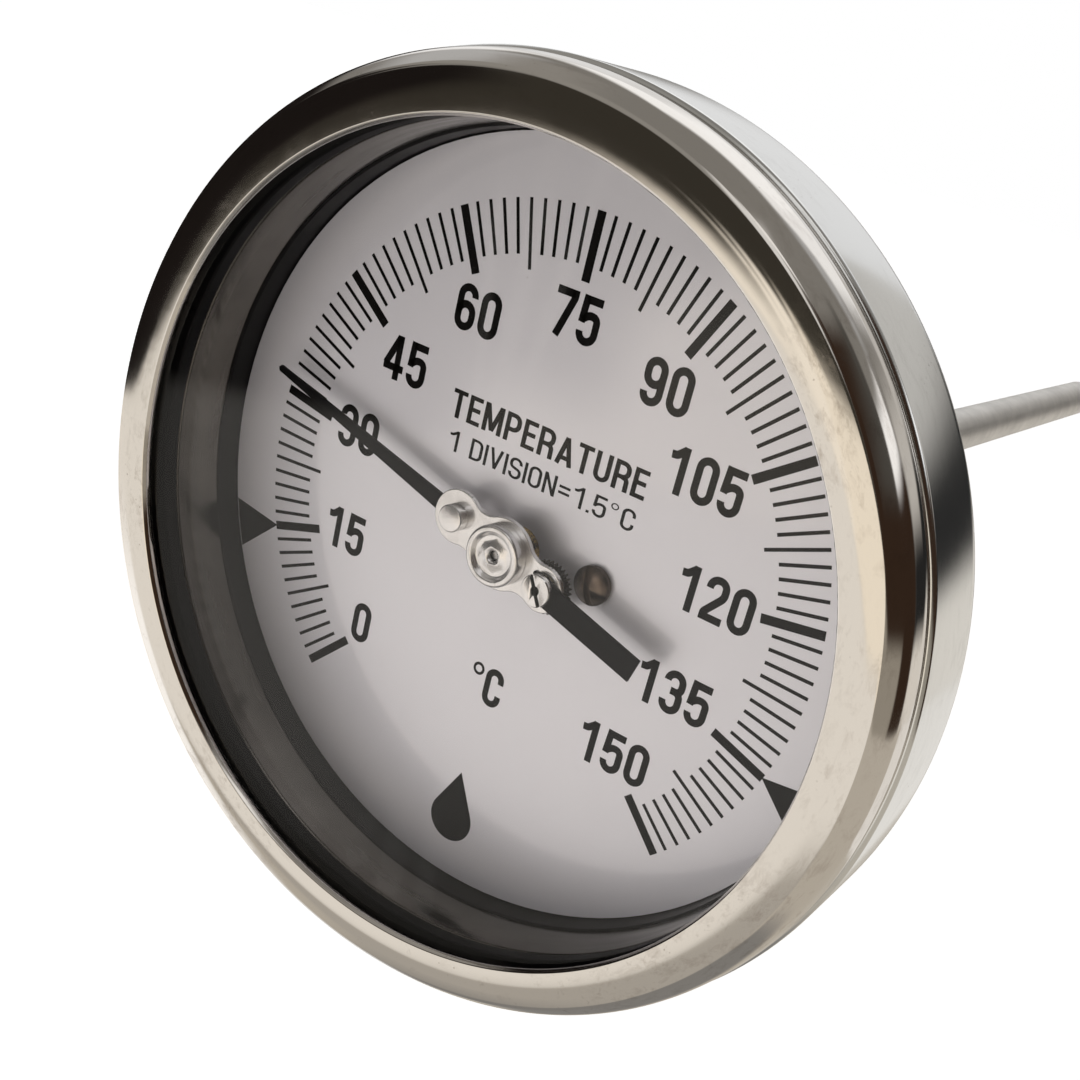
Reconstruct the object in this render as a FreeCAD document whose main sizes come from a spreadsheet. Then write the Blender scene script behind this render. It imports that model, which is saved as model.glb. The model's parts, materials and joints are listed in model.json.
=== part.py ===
"""Dial thermometer with a bimetal stem: a parametric FreeCAD model.

Instrument frame used inside every body (millimetres):
    x  towards 3 o'clock, y towards 12 o'clock, z out of the dial towards the reader,
    with z = 0 on the printed face of the dial.
Every body's Placement stands this frame up in the part's own frame:
    +Z up (12 o'clock), +Y along the stem towards its tip, origin on the stem's axis
    at the sealing shoulder of the threaded connector.
"""
import FreeCAD, Part
import math
import os

import Sketcher

App = FreeCAD
doc = App.newDocument("DialThermometer")

# --------------------------------------------------------------------------- driving dimensions

DIMENSIONS = [
    # head
    ("dial_offset", 22.0, "dial face to sealing shoulder"),
    ("dial_radius", 50.5, "edge of the dial plate"),
    ("dial_sheet", 0.8, "thickness of the dial plate"),
    ("dial_bore", 3.0, "radius of the hole for the hub"),
    ("case_radius", 58.5, "outside of the case"),
    ("case_back", 8.0, "dial face to the outside of the back"),
    ("case_corner", 6.0, "outside radius of the back corner"),
    ("case_sheet", 1.0, "thickness of the case"),
    ("shoulder_height", 10.4, "dial face to the shoulder under the bezel"),
    ("neck_radius", 56.4, "outside of the neck inside the bezel"),
    ("neck_height", 14.6, "dial face to the rim of the neck"),
    ("bezel_radius", 58.0, "outside of the bezel skirt"),
    ("bezel_rear", 10.7, "dial face to the rear edge of the bezel"),
    ("bezel_bend", 12.0, "dial face to the start of the skirt's slope"),
    ("ridge_radius", 55.6, "crease between face and skirt"),
    ("ridge_height", 16.7, "dial face to the crease"),
    ("face_inner", 51.2, "inner edge of the bezel's face"),
    ("face_height", 17.1, "dial face to the inner edge of the bezel's face"),
    ("window_radius", 50.4, "clear opening of the bezel"),
    ("lip_height", 16.4, "dial face to the edge of the opening"),
    ("glass_front", 15.8, "dial face to the front of the glass"),
    ("glass_radius", 54.0, "edge of the glass"),
    ("glass_sheet", 3.0, "thickness of the glass"),
    ("gasket_seat", 10.8, "dial face to the seat of the gasket"),
    ("seat_radius", 55.2, "outside of the gasket and its seat"),
    ("wall_radius", 51.0, "inside of the polished spacer"),
    ("spacer_sheet", 0.6, "thickness of the spacer"),
    ("ring_height", 3.4, "dial face to the top of the black ring"),
    ("ring_outer", 52.5, "outside of the black ring"),
    ("ring_gap", 0.2, "dial edge to the black ring"),
    ("ledge_width", 1.7, "ledge under the edge of the dial"),
    ("ledge_sheet", 1.0, "thickness of that ledge"),
    # dial fixing
    ("post_offset", 11.8, "axis to the dial screw"),
    ("post_radius", 2.2, "dial post"),
    ("screw_radius", 1.5, "shank of the dial screw, M3"),
    ("screw_head", 2.6, "head of the dial screw"),
    ("screw_rise", 1.9, "height of that head"),
    ("screw_turn", 13.5, "slot, degrees from 12 o'clock"),
    ("bracket_radius", 16.0, "dial bracket"),
    ("bracket_sheet", 0.8, "thickness of the bracket"),
    # pointer and its hub
    ("pointer_rest", 164.9, "blade, degrees from 3 o'clock: reads 33.4 on the scale"),
    ("blade_reach", 42.7, "axis to the tip of the blade"),
    ("blade_root", 2.9, "width of the blade round its rivet"),
    ("blade_neck", 11.3, "axis to the place where the blade leaves its lobe"),
    ("neck_width", 2.3, "width of the blade there"),
    ("neck_set", 0.45, "sideways set of the blade there"),
    ("tip_set", 0.95, "sideways set of the tip, which trims the reading"),
    ("blade_tip", 0.9, "width of the blade at the tip"),
    ("blade_sheet", 0.4, "thickness of the blade"),
    ("tail_reach", 23.35, "axis to the end of the tail"),
    ("tail_root", 3.4, "width of the tail at the hub"),
    ("tail_end", 3.35, "width of the tail at its end"),
    ("tail_sheet", 0.4, "thickness of the tail"),
    ("carrier_height", 3.6, "dial face to the underside of the carrier"),
    ("carrier_sheet", 0.8, "thickness of the carrier"),
    ("carrier_centre", 4.8, "radius of the middle lobe"),
    ("rivet_lobe", 3.6, "radius of the blade's lobe"),
    ("screw_lobe", 3.1, "radius of the adjuster's lobe"),
    ("waist_radius", 3.0, "hollow between two lobes"),
    ("rivet_offset", 7.85, "axis to the blade rivet"),
    ("rivet_head", 1.8, "radius of the rivet's boss"),
    ("rivet_shank", 0.9, "radius of the rivet's shank"),
    ("rivet_top", 6.0, "dial face to the top of the boss"),
    ("cap_radius", 4.0, "outside of the centre cap"),
    ("cap_top", 6.4, "dial face to the top of the cap"),
    ("cap_hole", 0.7, "hole in the middle of the cap"),
    ("spindle_radius", 0.8, "spindle"),
    ("running_gap", 0.05, "radial clearance of a shaft in its bush"),
    ("sleeve_radius", 1.6, "hub sleeve that carries the pointer"),
    ("gear_base", 2.5, "dial face to the underside of the gears"),
    ("gear_face", 0.8, "face width of the gears"),
    ("gear_module", 0.2, "module of the adjuster gears"),
    ("hub_teeth", 39, "teeth of the hub gear"),
    ("pinion_teeth", 33, "teeth of the adjusting pinion"),
    ("backlash", 0.05, "play at the pitch circle"),
    ("adjuster_head", 2.15, "head of the adjusting screw"),
    ("adjuster_top", 5.7, "dial face to the top of that head"),
    ("adjuster_shank", 0.85, "shank of the adjusting screw"),
    ("adjuster_turn", 45.0, "slot of that screw, degrees back from the blade"),
    # stem and connector
    ("stem_radius", 5.0, "outside of the stem tube"),
    ("stem_bore", 4.2, "inside of the stem tube"),
    ("stem_seat", 4.75, "tube turned down inside the connector"),
    ("stem_length", 300.0, "case back to the tip"),
    ("helix_length", 69.0, "bimetal helix"),
    ("helix_pitch", 3.45, "rise of one turn"),
    ("helix_radius", 3.4, "outside of the helix"),
    ("strip_sheet", 0.4, "thickness of the bimetal strip"),
    ("strip_width", 2.2, "width of the bimetal strip"),
    ("spigot_radius", 6.5, "spigot of the connector"),
    ("thread_radius", 10.478, "G 1/2 thread, major radius"),
    ("thread_length", 16.0, "length of the thread"),
    ("hex_width", 27.0, "connector across flats"),
    ("collar_radius", 13.0, "sealing shoulder"),
    ("collar_sheet", 4.0, "length of the collar behind the hexagon"),
    ("washer_sheet", 1.0, "sealing washer"),
    ("nut_width", 16.0, "lock nut across flats"),
    ("nut_height", 2.8, "thickness of the lock nut"),
]


class Size:
    """A length with its value and the spreadsheet expression that drives it."""

    def __init__(self, value, text):
        self.value = value
        self.text = text

    def _join(self, sign, other, value):
        if isinstance(other, Size):
            return Size(value, f"({self.text} {sign} {other.text})")
        return Size(value, f"({self.text} {sign} {other})")

    def __add__(self, other):
        return self._join("+", other, self.value + number(other))

    def __sub__(self, other):
        return self._join("-", other, self.value - number(other))

    def __mul__(self, other):
        return self._join("*", other, self.value * number(other))

    def __truediv__(self, other):
        return self._join("/", other, self.value / number(other))

    def __neg__(self):
        return Size(-self.value, f"(-1 * {self.text})")


def number(size):
    """The plain value of a Size or of a number."""
    return size.value if isinstance(size, Size) else float(size)


class Sheet:
    """The spreadsheet's cells as attributes: dims.case_radius is a Size."""

    def __init__(self, rows):
        sheet = doc.addObject("Spreadsheet::Sheet", "Dimensions")
        for row, (alias, value, note) in enumerate(rows, start=1):
            sheet.set(f"A{row}", alias)
            sheet.set(f"B{row}", str(value))
            sheet.set(f"C{row}", note)
            sheet.setAlias(f"B{row}", alias)
            setattr(self, alias, Size(value, f"Dimensions.{alias}"))


dims = Sheet(DIMENSIONS)
doc.recompute()

ZERO = Size(0.0, "0")

# --------------------------------------------------------------------------- building blocks

PARTS = []
HEAD_TURN = App.Rotation(App.Vector(1, 0, 0), 90)


def new_body(label, turned_with_pointer=False):
    """A body in the instrument frame, stood up in the part's frame."""
    body = doc.addObject("PartDesign::Body", "Body_" + label)
    body.Label = label
    turn = HEAD_TURN
    if turned_with_pointer:
        turn = turn.multiply(App.Rotation(App.Vector(0, 0, 1), dims.pointer_rest.value))
    body.Placement = App.Placement(App.Vector(0, -dims.dial_offset.value, 0), turn)
    PARTS.append(body)
    return body


def new_sketch(body, name, role, height=None):
    """A sketch on one of the body's origin planes, raised to a height on XY_Plane."""
    sketch = body.newObject("Sketcher::SketchObject", name)
    plane = [item for item in body.Origin.OriginFeatures if item.Role == role][0]
    sketch.AttachmentSupport = [(plane, "")]
    sketch.MapMode = "FlatFace"
    if height is not None:
        sketch.AttachmentOffset = App.Placement(App.Vector(0, 0, number(height)), App.Rotation())
        sketch.setExpression("AttachmentOffset.Base.z", height.text)
    return sketch


def drive(sketch, kind, where, size):
    """Add one dimension to a sketch and bind it to the spreadsheet when it is a Size."""
    index = sketch.addConstraint(Sketcher.Constraint(kind, *where, number(size)))
    if isinstance(size, Size) and size is not ZERO:
        sketch.setExpression(f"Constraints[{index}]", size.text)


def place_point(sketch, geometry, end, across, along):
    """Fix a point at (across, along) from the sketch's origin."""
    drive(sketch, "DistanceX", (-1, 1, geometry, end), across)
    drive(sketch, "DistanceY", (-1, 1, geometry, end), along)


def arc_between(start, end, radius, side):
    """Arc from start to end with its centre on the left (side 1) or right (side -1)."""
    middle = (start + end) * 0.5
    chord = end - start
    half = chord.Length / 2
    rise = math.sqrt(max(radius * radius - half * half, 0.0))
    left = App.Vector(-chord.y, chord.x, 0).normalize()
    centre = middle + left * (side * rise)
    first = math.atan2(start.y - centre.y, start.x - centre.x)
    last = math.atan2(end.y - centre.y, end.x - centre.x)
    circle = Part.Circle(centre, App.Vector(0, 0, 1), radius)
    if side > 0:
        return Part.ArcOfCircle(circle, first, last), 1, 2
    return Part.ArcOfCircle(circle, last, first), 2, 1


def draw_outline(sketch, outline):
    """Closed outline of (across, along) corners.

    A corner may carry (radius, side): the edge that leaves it is then an arc.
    """
    corners = [App.Vector(number(item[0]), number(item[1]), 0) for item in outline]
    ends = []
    for index, item in enumerate(outline):
        start = corners[index]
        end = corners[(index + 1) % len(corners)]
        if len(item) > 2:
            curve, first, last = arc_between(start, end, number(item[2]), item[3])
        else:
            curve, first, last = Part.LineSegment(start, end), 1, 2
        geometry = sketch.addGeometry(curve, False)
        ends.append((geometry, first, last))
    for index, item in enumerate(outline):
        geometry, first, last = ends[index]
        following = ends[(index + 1) % len(ends)]
        sketch.addConstraint(Sketcher.Constraint("Coincident", geometry, last, following[0], following[1]))
        place_point(sketch, geometry, first, item[0], item[1])
        if len(item) > 2:
            drive(sketch, "Radius", (geometry,), item[2])


def draw_circle(sketch, radius, across=ZERO, along=ZERO):
    centre = App.Vector(number(across), number(along), 0)
    geometry = sketch.addGeometry(Part.Circle(centre, App.Vector(0, 0, 1), number(radius)), False)
    place_point(sketch, geometry, 3, across, along)
    drive(sketch, "Radius", (geometry,), radius)


def revolve(body, name, outline):
    """Turned solid: the outline is (radius, height) and spins about the instrument's axis."""
    sketch = new_sketch(body, name + "_profile", "XZ_Plane")
    draw_outline(sketch, outline)
    feature = body.newObject("PartDesign::Revolution", name)
    feature.Profile = sketch
    feature.ReferenceAxis = (sketch, ["V_Axis"])
    feature.Angle = 360.0
    return feature


def groove(body, name, outline):
    """The same outline taken away from the body."""
    sketch = new_sketch(body, name + "_profile", "XZ_Plane")
    draw_outline(sketch, outline)
    feature = body.newObject("PartDesign::Groove", name)
    feature.Profile = sketch
    feature.ReferenceAxis = (sketch, ["V_Axis"])
    feature.Angle = 360.0
    return feature


def pad(body, name, sketch, length):
    feature = body.newObject("PartDesign::Pad", name)
    feature.Profile = sketch
    feature.Length = number(length)
    feature.setExpression("Length", length.text)
    return feature


def cut_down(body, name, sketch, depth):
    """Pocket from the sketch's plane towards the dial."""
    feature = body.newObject("PartDesign::Pocket", name)
    feature.Profile = sketch
    feature.Length = number(depth)
    feature.setExpression("Length", depth.text)
    return feature


def ring(inner, outer, low, high):
    """Outline of a plain ring or, with inner ZERO, of a disc."""
    return [(inner, low), (outer, low), (outer, high), (inner, high)]


def draw_hexagon(sketch, width):
    """Hexagon about the axis, with two corners on the sketch's across axis."""
    corner = width / math.sqrt(3)
    half = corner / 2
    flat = width / 2
    draw_outline(sketch, [(corner, ZERO), (half, flat), (-half, flat),
                          (-corner, ZERO), (-half, -flat), (half, -flat)])


# --------------------------------------------------------------------------- head: case and window

def make_case_shell():
    body = new_body("case_shell")
    back = -dims.case_back
    inside = back + dims.case_sheet
    bend = dims.case_radius - dims.case_corner
    wall = dims.case_radius - dims.case_sheet
    under_shoulder = dims.shoulder_height - dims.case_sheet
    neck_inside = dims.neck_radius - dims.case_sheet
    inner_corner = dims.case_corner - dims.case_sheet
    revolve(body, "case_revolution", [
        (dims.spigot_radius, back),
        (bend, back, dims.case_corner, 1),
        (dims.case_radius, back + dims.case_corner),
        (dims.case_radius, dims.shoulder_height - 0.7, Size(0.7, "0.7"), 1),
        (dims.case_radius - 0.7, dims.shoulder_height),
        (dims.neck_radius, dims.shoulder_height),
        (dims.neck_radius, dims.neck_height),
        (neck_inside, dims.neck_height),
        (neck_inside, under_shoulder),
        (wall, under_shoulder),
        (wall, inside + inner_corner, inner_corner, -1),
        (bend, inside),
        (dims.spigot_radius, inside),
    ])


def make_bezel_ring():
    body = new_body("bezel_ring")
    skirt_inside = dims.neck_radius + 0.1
    ceiling = dims.glass_front
    revolve(body, "bezel_revolution", [
        (dims.window_radius, dims.lip_height, Size(0.75, "0.75"), -1),
        (dims.face_inner, dims.face_height, Size(7.0, "7"), -1),
        (dims.ridge_radius, dims.ridge_height, Size(9.0, "9"), -1),
        (dims.bezel_radius, dims.bezel_bend),
        (dims.bezel_radius, dims.bezel_rear + 0.5, Size(0.5, "0.5"), -1),
        (dims.bezel_radius - 0.5, dims.bezel_rear),
        (skirt_inside, dims.bezel_rear),
        (skirt_inside, dims.neck_height),
        (dims.seat_radius, ceiling),
        (dims.window_radius + 0.4, ceiling),
    ])


def make_window_glass():
    body = new_body("window_glass")
    back = dims.glass_front - dims.glass_sheet
    bevel = 0.4
    revolve(body, "glass_revolution", [
        (ZERO, back),
        (dims.glass_radius - bevel, back),
        (dims.glass_radius, back + bevel),
        (dims.glass_radius, dims.glass_front - bevel),
        (dims.glass_radius - bevel, dims.glass_front),
        (ZERO, dims.glass_front),
    ])


def make_glass_gasket():
    body = new_body("glass_gasket")
    back = dims.glass_front - dims.glass_sheet
    revolve(body, "gasket_revolution", [
        (dims.wall_radius, dims.gasket_seat),
        (dims.seat_radius, dims.gasket_seat),
        (dims.seat_radius, dims.glass_front),
        (dims.glass_radius, dims.glass_front),
        (dims.glass_radius, back),
        (dims.wall_radius, back),
    ])


def make_window_spacer():
    body = new_body("window_spacer")
    flange = dims.gasket_seat - dims.spacer_sheet
    outside = dims.wall_radius + dims.spacer_sheet
    revolve(body, "spacer_revolution", [
        (dims.wall_radius, dims.ring_height),
        (outside, dims.ring_height),
        (outside, flange),
        (dims.seat_radius, flange),
        (dims.seat_radius, dims.gasket_seat),
        (dims.wall_radius, dims.gasket_seat),
    ])


def make_dial_ring():
    body = new_body("dial_ring")
    inside = dims.dial_radius + dims.ring_gap
    under_dial = -dims.dial_sheet
    floor = dims.case_sheet - dims.case_back
    revolve(body, "dial_ring_revolution", [
        (inside + 0.2, floor),
        (dims.ring_outer, floor),
        (dims.ring_outer, dims.ring_height),
        (inside, dims.ring_height),
        (inside, under_dial),
        (inside - dims.ledge_width, under_dial),
        (inside - dims.ledge_width, under_dial - dims.ledge_sheet),
        (inside + 0.2, under_dial - dims.ledge_sheet),
    ])


# --------------------------------------------------------------------------- dial and its fixing

def make_dial_plate():
    body = new_body("dial_plate")
    under_dial = -dims.dial_sheet
    sketch = new_sketch(body, "dial_outline", "XY_Plane", under_dial)
    draw_circle(sketch, dims.dial_radius)
    draw_circle(sketch, dims.dial_bore)
    draw_circle(sketch, dims.screw_radius + 0.1, dims.post_offset)
    pad(body, "dial_pad", sketch, dims.dial_sheet)


def make_dial_post():
    body = new_body("dial_post")
    floor = dims.case_sheet - dims.case_back
    seat = floor + dims.bracket_sheet
    under_dial = -dims.dial_sheet
    spigot = new_sketch(body, "post_spigot_outline", "XY_Plane", floor)
    draw_circle(spigot, dims.post_radius - 1, dims.post_offset)
    pad(body, "post_spigot", spigot, dims.bracket_sheet)
    column = new_sketch(body, "post_outline", "XY_Plane", seat)
    draw_circle(column, dims.post_radius, dims.post_offset)
    pad(body, "post_column", column, under_dial - seat)
    hole = new_sketch(body, "post_hole_outline", "XY_Plane", under_dial)
    draw_circle(hole, dims.screw_radius, dims.post_offset)
    cut_down(body, "post_hole", hole, Size(4.6, "4.6"))


def make_dial_screw():
    """Pan-head screw, turned on the instrument's axis and set over its post."""
    body = new_body("dial_screw")
    crown = dims.screw_rise - 1.1
    revolve(body, "screw_revolution", [
        (ZERO, Size(-5.2, "-5.2")),
        (dims.screw_radius - 0.4, Size(-5.2, "-5.2")),
        (dims.screw_radius - 0.05, Size(-4.8, "-4.8")),
        (dims.screw_radius - 0.05, ZERO),
        (dims.screw_head - 0.15, ZERO),
        (dims.screw_head, Size(0.15, "0.15")),
        (dims.screw_head, crown, Size(3.6, "3.6"), 1),
        (ZERO, dims.screw_rise),
    ])
    slot = new_sketch(body, "screw_slot_outline", "XY_Plane", dims.screw_rise + 0.1)
    half = Size(0.45, "0.45")
    long = dims.screw_head + 0.5
    draw_outline(slot, [(-half, -long), (half, -long), (half, long), (-half, long)])
    cut_down(body, "screw_slot", slot, Size(1.2, "1.2"))
    spin = App.Rotation(App.Vector(0, 0, 1), dims.screw_turn.value)
    over_post = App.Placement(App.Vector(dims.post_offset.value, 0, 0), spin)
    body.Placement = body.Placement.multiply(over_post)


def make_dial_bracket():
    body = new_body("dial_bracket")
    floor = dims.case_sheet - dims.case_back
    sketch = new_sketch(body, "bracket_outline", "XY_Plane", floor)
    draw_circle(sketch, dims.bracket_radius)
    draw_circle(sketch, dims.spigot_radius)
    draw_circle(sketch, dims.post_radius - 1, dims.post_offset)
    pad(body, "bracket_pad", sketch, dims.bracket_sheet)


# --------------------------------------------------------------------------- connector and stem

def make_hex_connector():
    body = new_body("hex_connector")
    nut_seat = dims.case_sheet + dims.bracket_sheet - dims.case_back
    top = nut_seat + dims.nut_height
    face = -dims.case_back - dims.washer_sheet
    shoulder = -dims.dial_offset
    hex_rear = shoulder + dims.collar_sheet
    end = shoulder - dims.thread_length
    chamfer = 1.2
    revolve(body, "connector_revolution", [
        (dims.stem_seat, end),
        (dims.thread_radius - chamfer, end),
        (dims.thread_radius, end + chamfer),
        (dims.thread_radius, shoulder),
        (dims.collar_radius, shoulder),
        (dims.collar_radius, face),
        (dims.spigot_radius, face),
        (dims.spigot_radius, top),
        (dims.stem_seat, top),
    ])
    flats = new_sketch(body, "hexagon_outline", "XY_Plane", hex_rear)
    draw_hexagon(flats, dims.hex_width)
    draw_circle(flats, dims.collar_radius - 1)
    pad(body, "hexagon", flats, face - hex_rear)
    reach = dims.hex_width * 0.62
    drop = Size(1.6, "1.6")
    groove(body, "front_chamfer", [
        (dims.collar_radius + 0.3, face), (reach, face - drop), (reach, face)])
    groove(body, "rear_chamfer", [
        (dims.collar_radius + 0.3, hex_rear), (reach, hex_rear), (reach, hex_rear + drop)])


def make_sealing_washer():
    body = new_body("sealing_washer")
    back = -dims.case_back
    revolve(body, "washer_revolution", ring(
        dims.spigot_radius, dims.collar_radius - 1, back - dims.washer_sheet, back))


def make_case_nut():
    body = new_body("case_nut")
    seat = dims.case_sheet + dims.bracket_sheet - dims.case_back
    sketch = new_sketch(body, "nut_outline", "XY_Plane", seat)
    draw_hexagon(sketch, dims.nut_width)
    draw_circle(sketch, dims.spigot_radius)
    pad(body, "nut_pad", sketch, dims.nut_height)


def stem_levels():
    """Heights along the stem: tube's top, tube's end, plug's top and helix's two ends."""
    tube_top = dims.case_sheet + dims.bracket_sheet - dims.case_back + dims.nut_height + 0.4
    tip = -dims.case_back - dims.stem_length
    tube_end = tip + dims.stem_radius
    plug_top = tube_end + 6
    helix_low = plug_top + 1.5
    helix_high = helix_low + dims.helix_length + dims.strip_width
    return tube_top, tip, tube_end, plug_top, helix_low, helix_high


def make_stem_tube():
    body = new_body("stem_tube")
    tube_top, tip, tube_end, plug_top, helix_low, helix_high = stem_levels()
    connector_end = -dims.dial_offset - dims.thread_length
    revolve(body, "tube_revolution", [
        (dims.stem_bore, tube_end),
        (dims.stem_radius, tube_end),
        (dims.stem_radius, connector_end),
        (dims.stem_seat, connector_end),
        (dims.stem_seat, tube_top),
        (dims.stem_bore, tube_top),
    ])


def make_stem_tip():
    body = new_body("stem_tip")
    tube_top, tip, tube_end, plug_top, helix_low, helix_high = stem_levels()
    revolve(body, "tip_revolution", [
        (ZERO, tip, dims.stem_radius, 1),
        (dims.stem_radius, tube_end),
        (dims.stem_bore, tube_end),
        (dims.stem_bore, plug_top),
        (ZERO, plug_top),
    ])


def make_helix_anchor():
    """Disc under the helix with a peg up its middle; the strip's lower end is welded to it."""
    body = new_body("helix_anchor")
    tube_top, tip, tube_end, plug_top, helix_low, helix_high = stem_levels()
    inside = dims.helix_radius - dims.strip_sheet - 0.4
    revolve(body, "anchor_revolution", [
        (ZERO, plug_top),
        (dims.stem_bore - 0.05, plug_top),
        (dims.stem_bore - 0.05, helix_low),
        (inside, helix_low),
        (inside, helix_low + 3),
        (ZERO, helix_low + 3),
    ])


def make_bimetal_helix():
    body = new_body("bimetal_helix")
    tube_top, tip, tube_end, plug_top, helix_low, helix_high = stem_levels()
    inner = dims.helix_radius - dims.strip_sheet
    strip = new_sketch(body, "strip_section", "XZ_Plane")
    draw_outline(strip, ring(inner, dims.helix_radius, helix_low, helix_low + dims.strip_width))
    coil = body.newObject("PartDesign::AdditiveHelix", "helix")
    coil.Profile = strip
    coil.ReferenceAxis = (strip, ["V_Axis"])
    coil.Mode = "pitch-height-angle"
    coil.Pitch = dims.helix_pitch.value
    coil.Height = dims.helix_length.value
    coil.setExpression("Pitch", dims.helix_pitch.text)
    coil.setExpression("Height", dims.helix_length.text)


def make_helix_collar():
    """Disc on the spindle's lower end; the strip's upper end is welded under it."""
    body = new_body("helix_collar")
    tube_top, tip, tube_end, plug_top, helix_low, helix_high = stem_levels()
    low = helix_high + 0.05
    revolve(body, "collar_revolution", [
        (dims.spindle_radius, low),
        (dims.helix_radius, low),
        (dims.helix_radius, low + 1.2),
        (dims.sleeve_radius, low + 1.2),
        (dims.sleeve_radius, low + 4),
        (dims.spindle_radius, low + 4),
    ])


def make_guide_bushes():
    """Three guide discs along the stem as one group of separate solids."""
    tube_top, tip, tube_end, plug_top, helix_low, helix_high = stem_levels()
    spacing = (tube_top.value - helix_high.value) / 4
    outer = dims.stem_bore.value
    bore = dims.spindle_radius.value + dims.running_gap.value
    thickness = 3.0
    discs = []
    for step in (1, 2, 3):
        centre = helix_high.value + step * spacing
        base = App.Vector(0, 0, centre - thickness / 2)
        disc = Part.makeCylinder(outer, thickness, base)
        discs.append(disc.cut(Part.makeCylinder(bore, thickness, base)))
    group = doc.addObject("Part::Feature", "GuideBushes")
    group.Label = "guide_bushes"
    group.Shape = Part.makeCompound(discs)
    group.Placement = App.Placement(App.Vector(0, -dims.dial_offset.value, 0), HEAD_TURN)
    PARTS.append(group)


def make_upper_bush():
    body = new_body("upper_bush")
    tube_top, tip, tube_end, plug_top, helix_low, helix_high = stem_levels()
    bore = dims.spindle_radius + dims.running_gap
    revolve(body, "bush_revolution", [
        (bore, tube_top - 6),
        (dims.stem_bore, tube_top - 6),
        (dims.stem_bore, tube_top),
        (dims.stem_seat, tube_top),
        (dims.stem_seat, tube_top + 0.8),
        (bore, tube_top + 0.8),
    ])


def make_spindle():
    body = new_body("spindle")
    tube_top, tip, tube_end, plug_top, helix_low, helix_high = stem_levels()
    top = dims.cap_top - 1.2
    revolve(body, "spindle_revolution", [
        (ZERO, helix_high + 0.3),
        (dims.spindle_radius, helix_high + 0.3),
        (dims.spindle_radius, top - 0.3),
        (dims.spindle_radius - 0.3, top),
        (ZERO, top),
    ])


# --------------------------------------------------------------------------- adjuster gears

PRESSURE_ANGLE = math.radians(20)


def involute(angle):
    return math.tan(angle) - angle


def tooth_outline(teeth, across):
    """Corners of one involute tooth that points along -x from a centre at (across, 0)."""
    module = dims.gear_module.value
    pitch = module * teeth / 2
    base = pitch * math.cos(PRESSURE_ANGLE)
    tip = pitch + 0.95 * module
    root = pitch - 1.3 * module
    half_tooth = (math.pi * module - dims.backlash.value * 2) / (4 * pitch)
    flank = []
    steps = 4
    for step in range(steps + 1):
        radius = max(base, root) + (tip - max(base, root)) * step / steps
        lean = involute(math.acos(min(1.0, base / radius)))
        flank.append((radius, half_tooth + involute(PRESSURE_ANGLE) - lean))
    flank.insert(0, (root - 0.15, flank[0][1]))
    right = [(across - r * math.cos(a), r * math.sin(a)) for r, a in flank]
    left = [(across - r * math.cos(a), -r * math.sin(a)) for r, a in reversed(flank)]
    return right + left, root


def add_teeth(body, name, teeth, across=0.0):
    """Pad one tooth and repeat it round the gear's own axis."""
    corners, root = tooth_outline(teeth, across)
    sketch = new_sketch(body, name + "_tooth_outline", "XY_Plane", dims.gear_base)
    points = [App.Vector(x, y, 0) for x, y in corners]
    count = len(points)
    for index in range(count):
        sketch.addGeometry(Part.LineSegment(points[index], points[(index + 1) % count]), False)
    for index in range(count):
        sketch.addConstraint(Sketcher.Constraint("Coincident", index, 2, (index + 1) % count, 1))
        sketch.addConstraint(Sketcher.Constraint("Block", index))
    tooth = pad(body, name + "_tooth", sketch, dims.gear_face)
    doc.recompute()
    pattern = body.newObject("PartDesign::PolarPattern", name + "_teeth")
    pattern.Originals = [tooth]
    pattern.Axis = (sketch, ["N_Axis"])
    pattern.Angle = 360.0
    pattern.Occurrences = teeth
    body.Tip = pattern


def root_radius(teeth_size):
    return dims.gear_module * (teeth_size.value / 2 - 1.3)


def make_hub_gear():
    """Toothed hub pressed on the spindle, with the sleeve that the pointer turns on."""
    body = new_body("hub_gear", True)
    gear_top = dims.gear_base + dims.gear_face
    root = root_radius(dims.hub_teeth)
    revolve(body, "hub_revolution", [
        (dims.spindle_radius, Size(1.2, "1.2")),
        (dims.sleeve_radius + 0.4, Size(1.2, "1.2")),
        (dims.sleeve_radius + 0.4, dims.gear_base),
        (root, dims.gear_base),
        (root, gear_top),
        (dims.sleeve_radius, gear_top),
        (dims.sleeve_radius, gear_top + 1.55),
        (dims.spindle_radius, gear_top + 1.55),
    ])
    add_teeth(body, "hub", int(dims.hub_teeth.value))


def gear_centres():
    """Distance between the two gears' axes."""
    return dims.gear_module * (dims.hub_teeth + dims.pinion_teeth) / 2


def set_on_adjuster(body):
    """Move a body turned on its own axis out to the adjuster's axis."""
    shift = App.Placement(App.Vector(-gear_centres().value, 0, 0), App.Rotation())
    body.Placement = body.Placement.multiply(shift)


def make_adjusting_pinion():
    body = new_body("adjusting_pinion", True)
    root = root_radius(dims.pinion_teeth)
    revolve(body, "pinion_revolution", ring(
        dims.adjuster_shank, root, dims.gear_base, dims.gear_base + dims.gear_face))
    add_teeth(body, "pinion", int(dims.pinion_teeth.value))
    set_on_adjuster(body)


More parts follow.
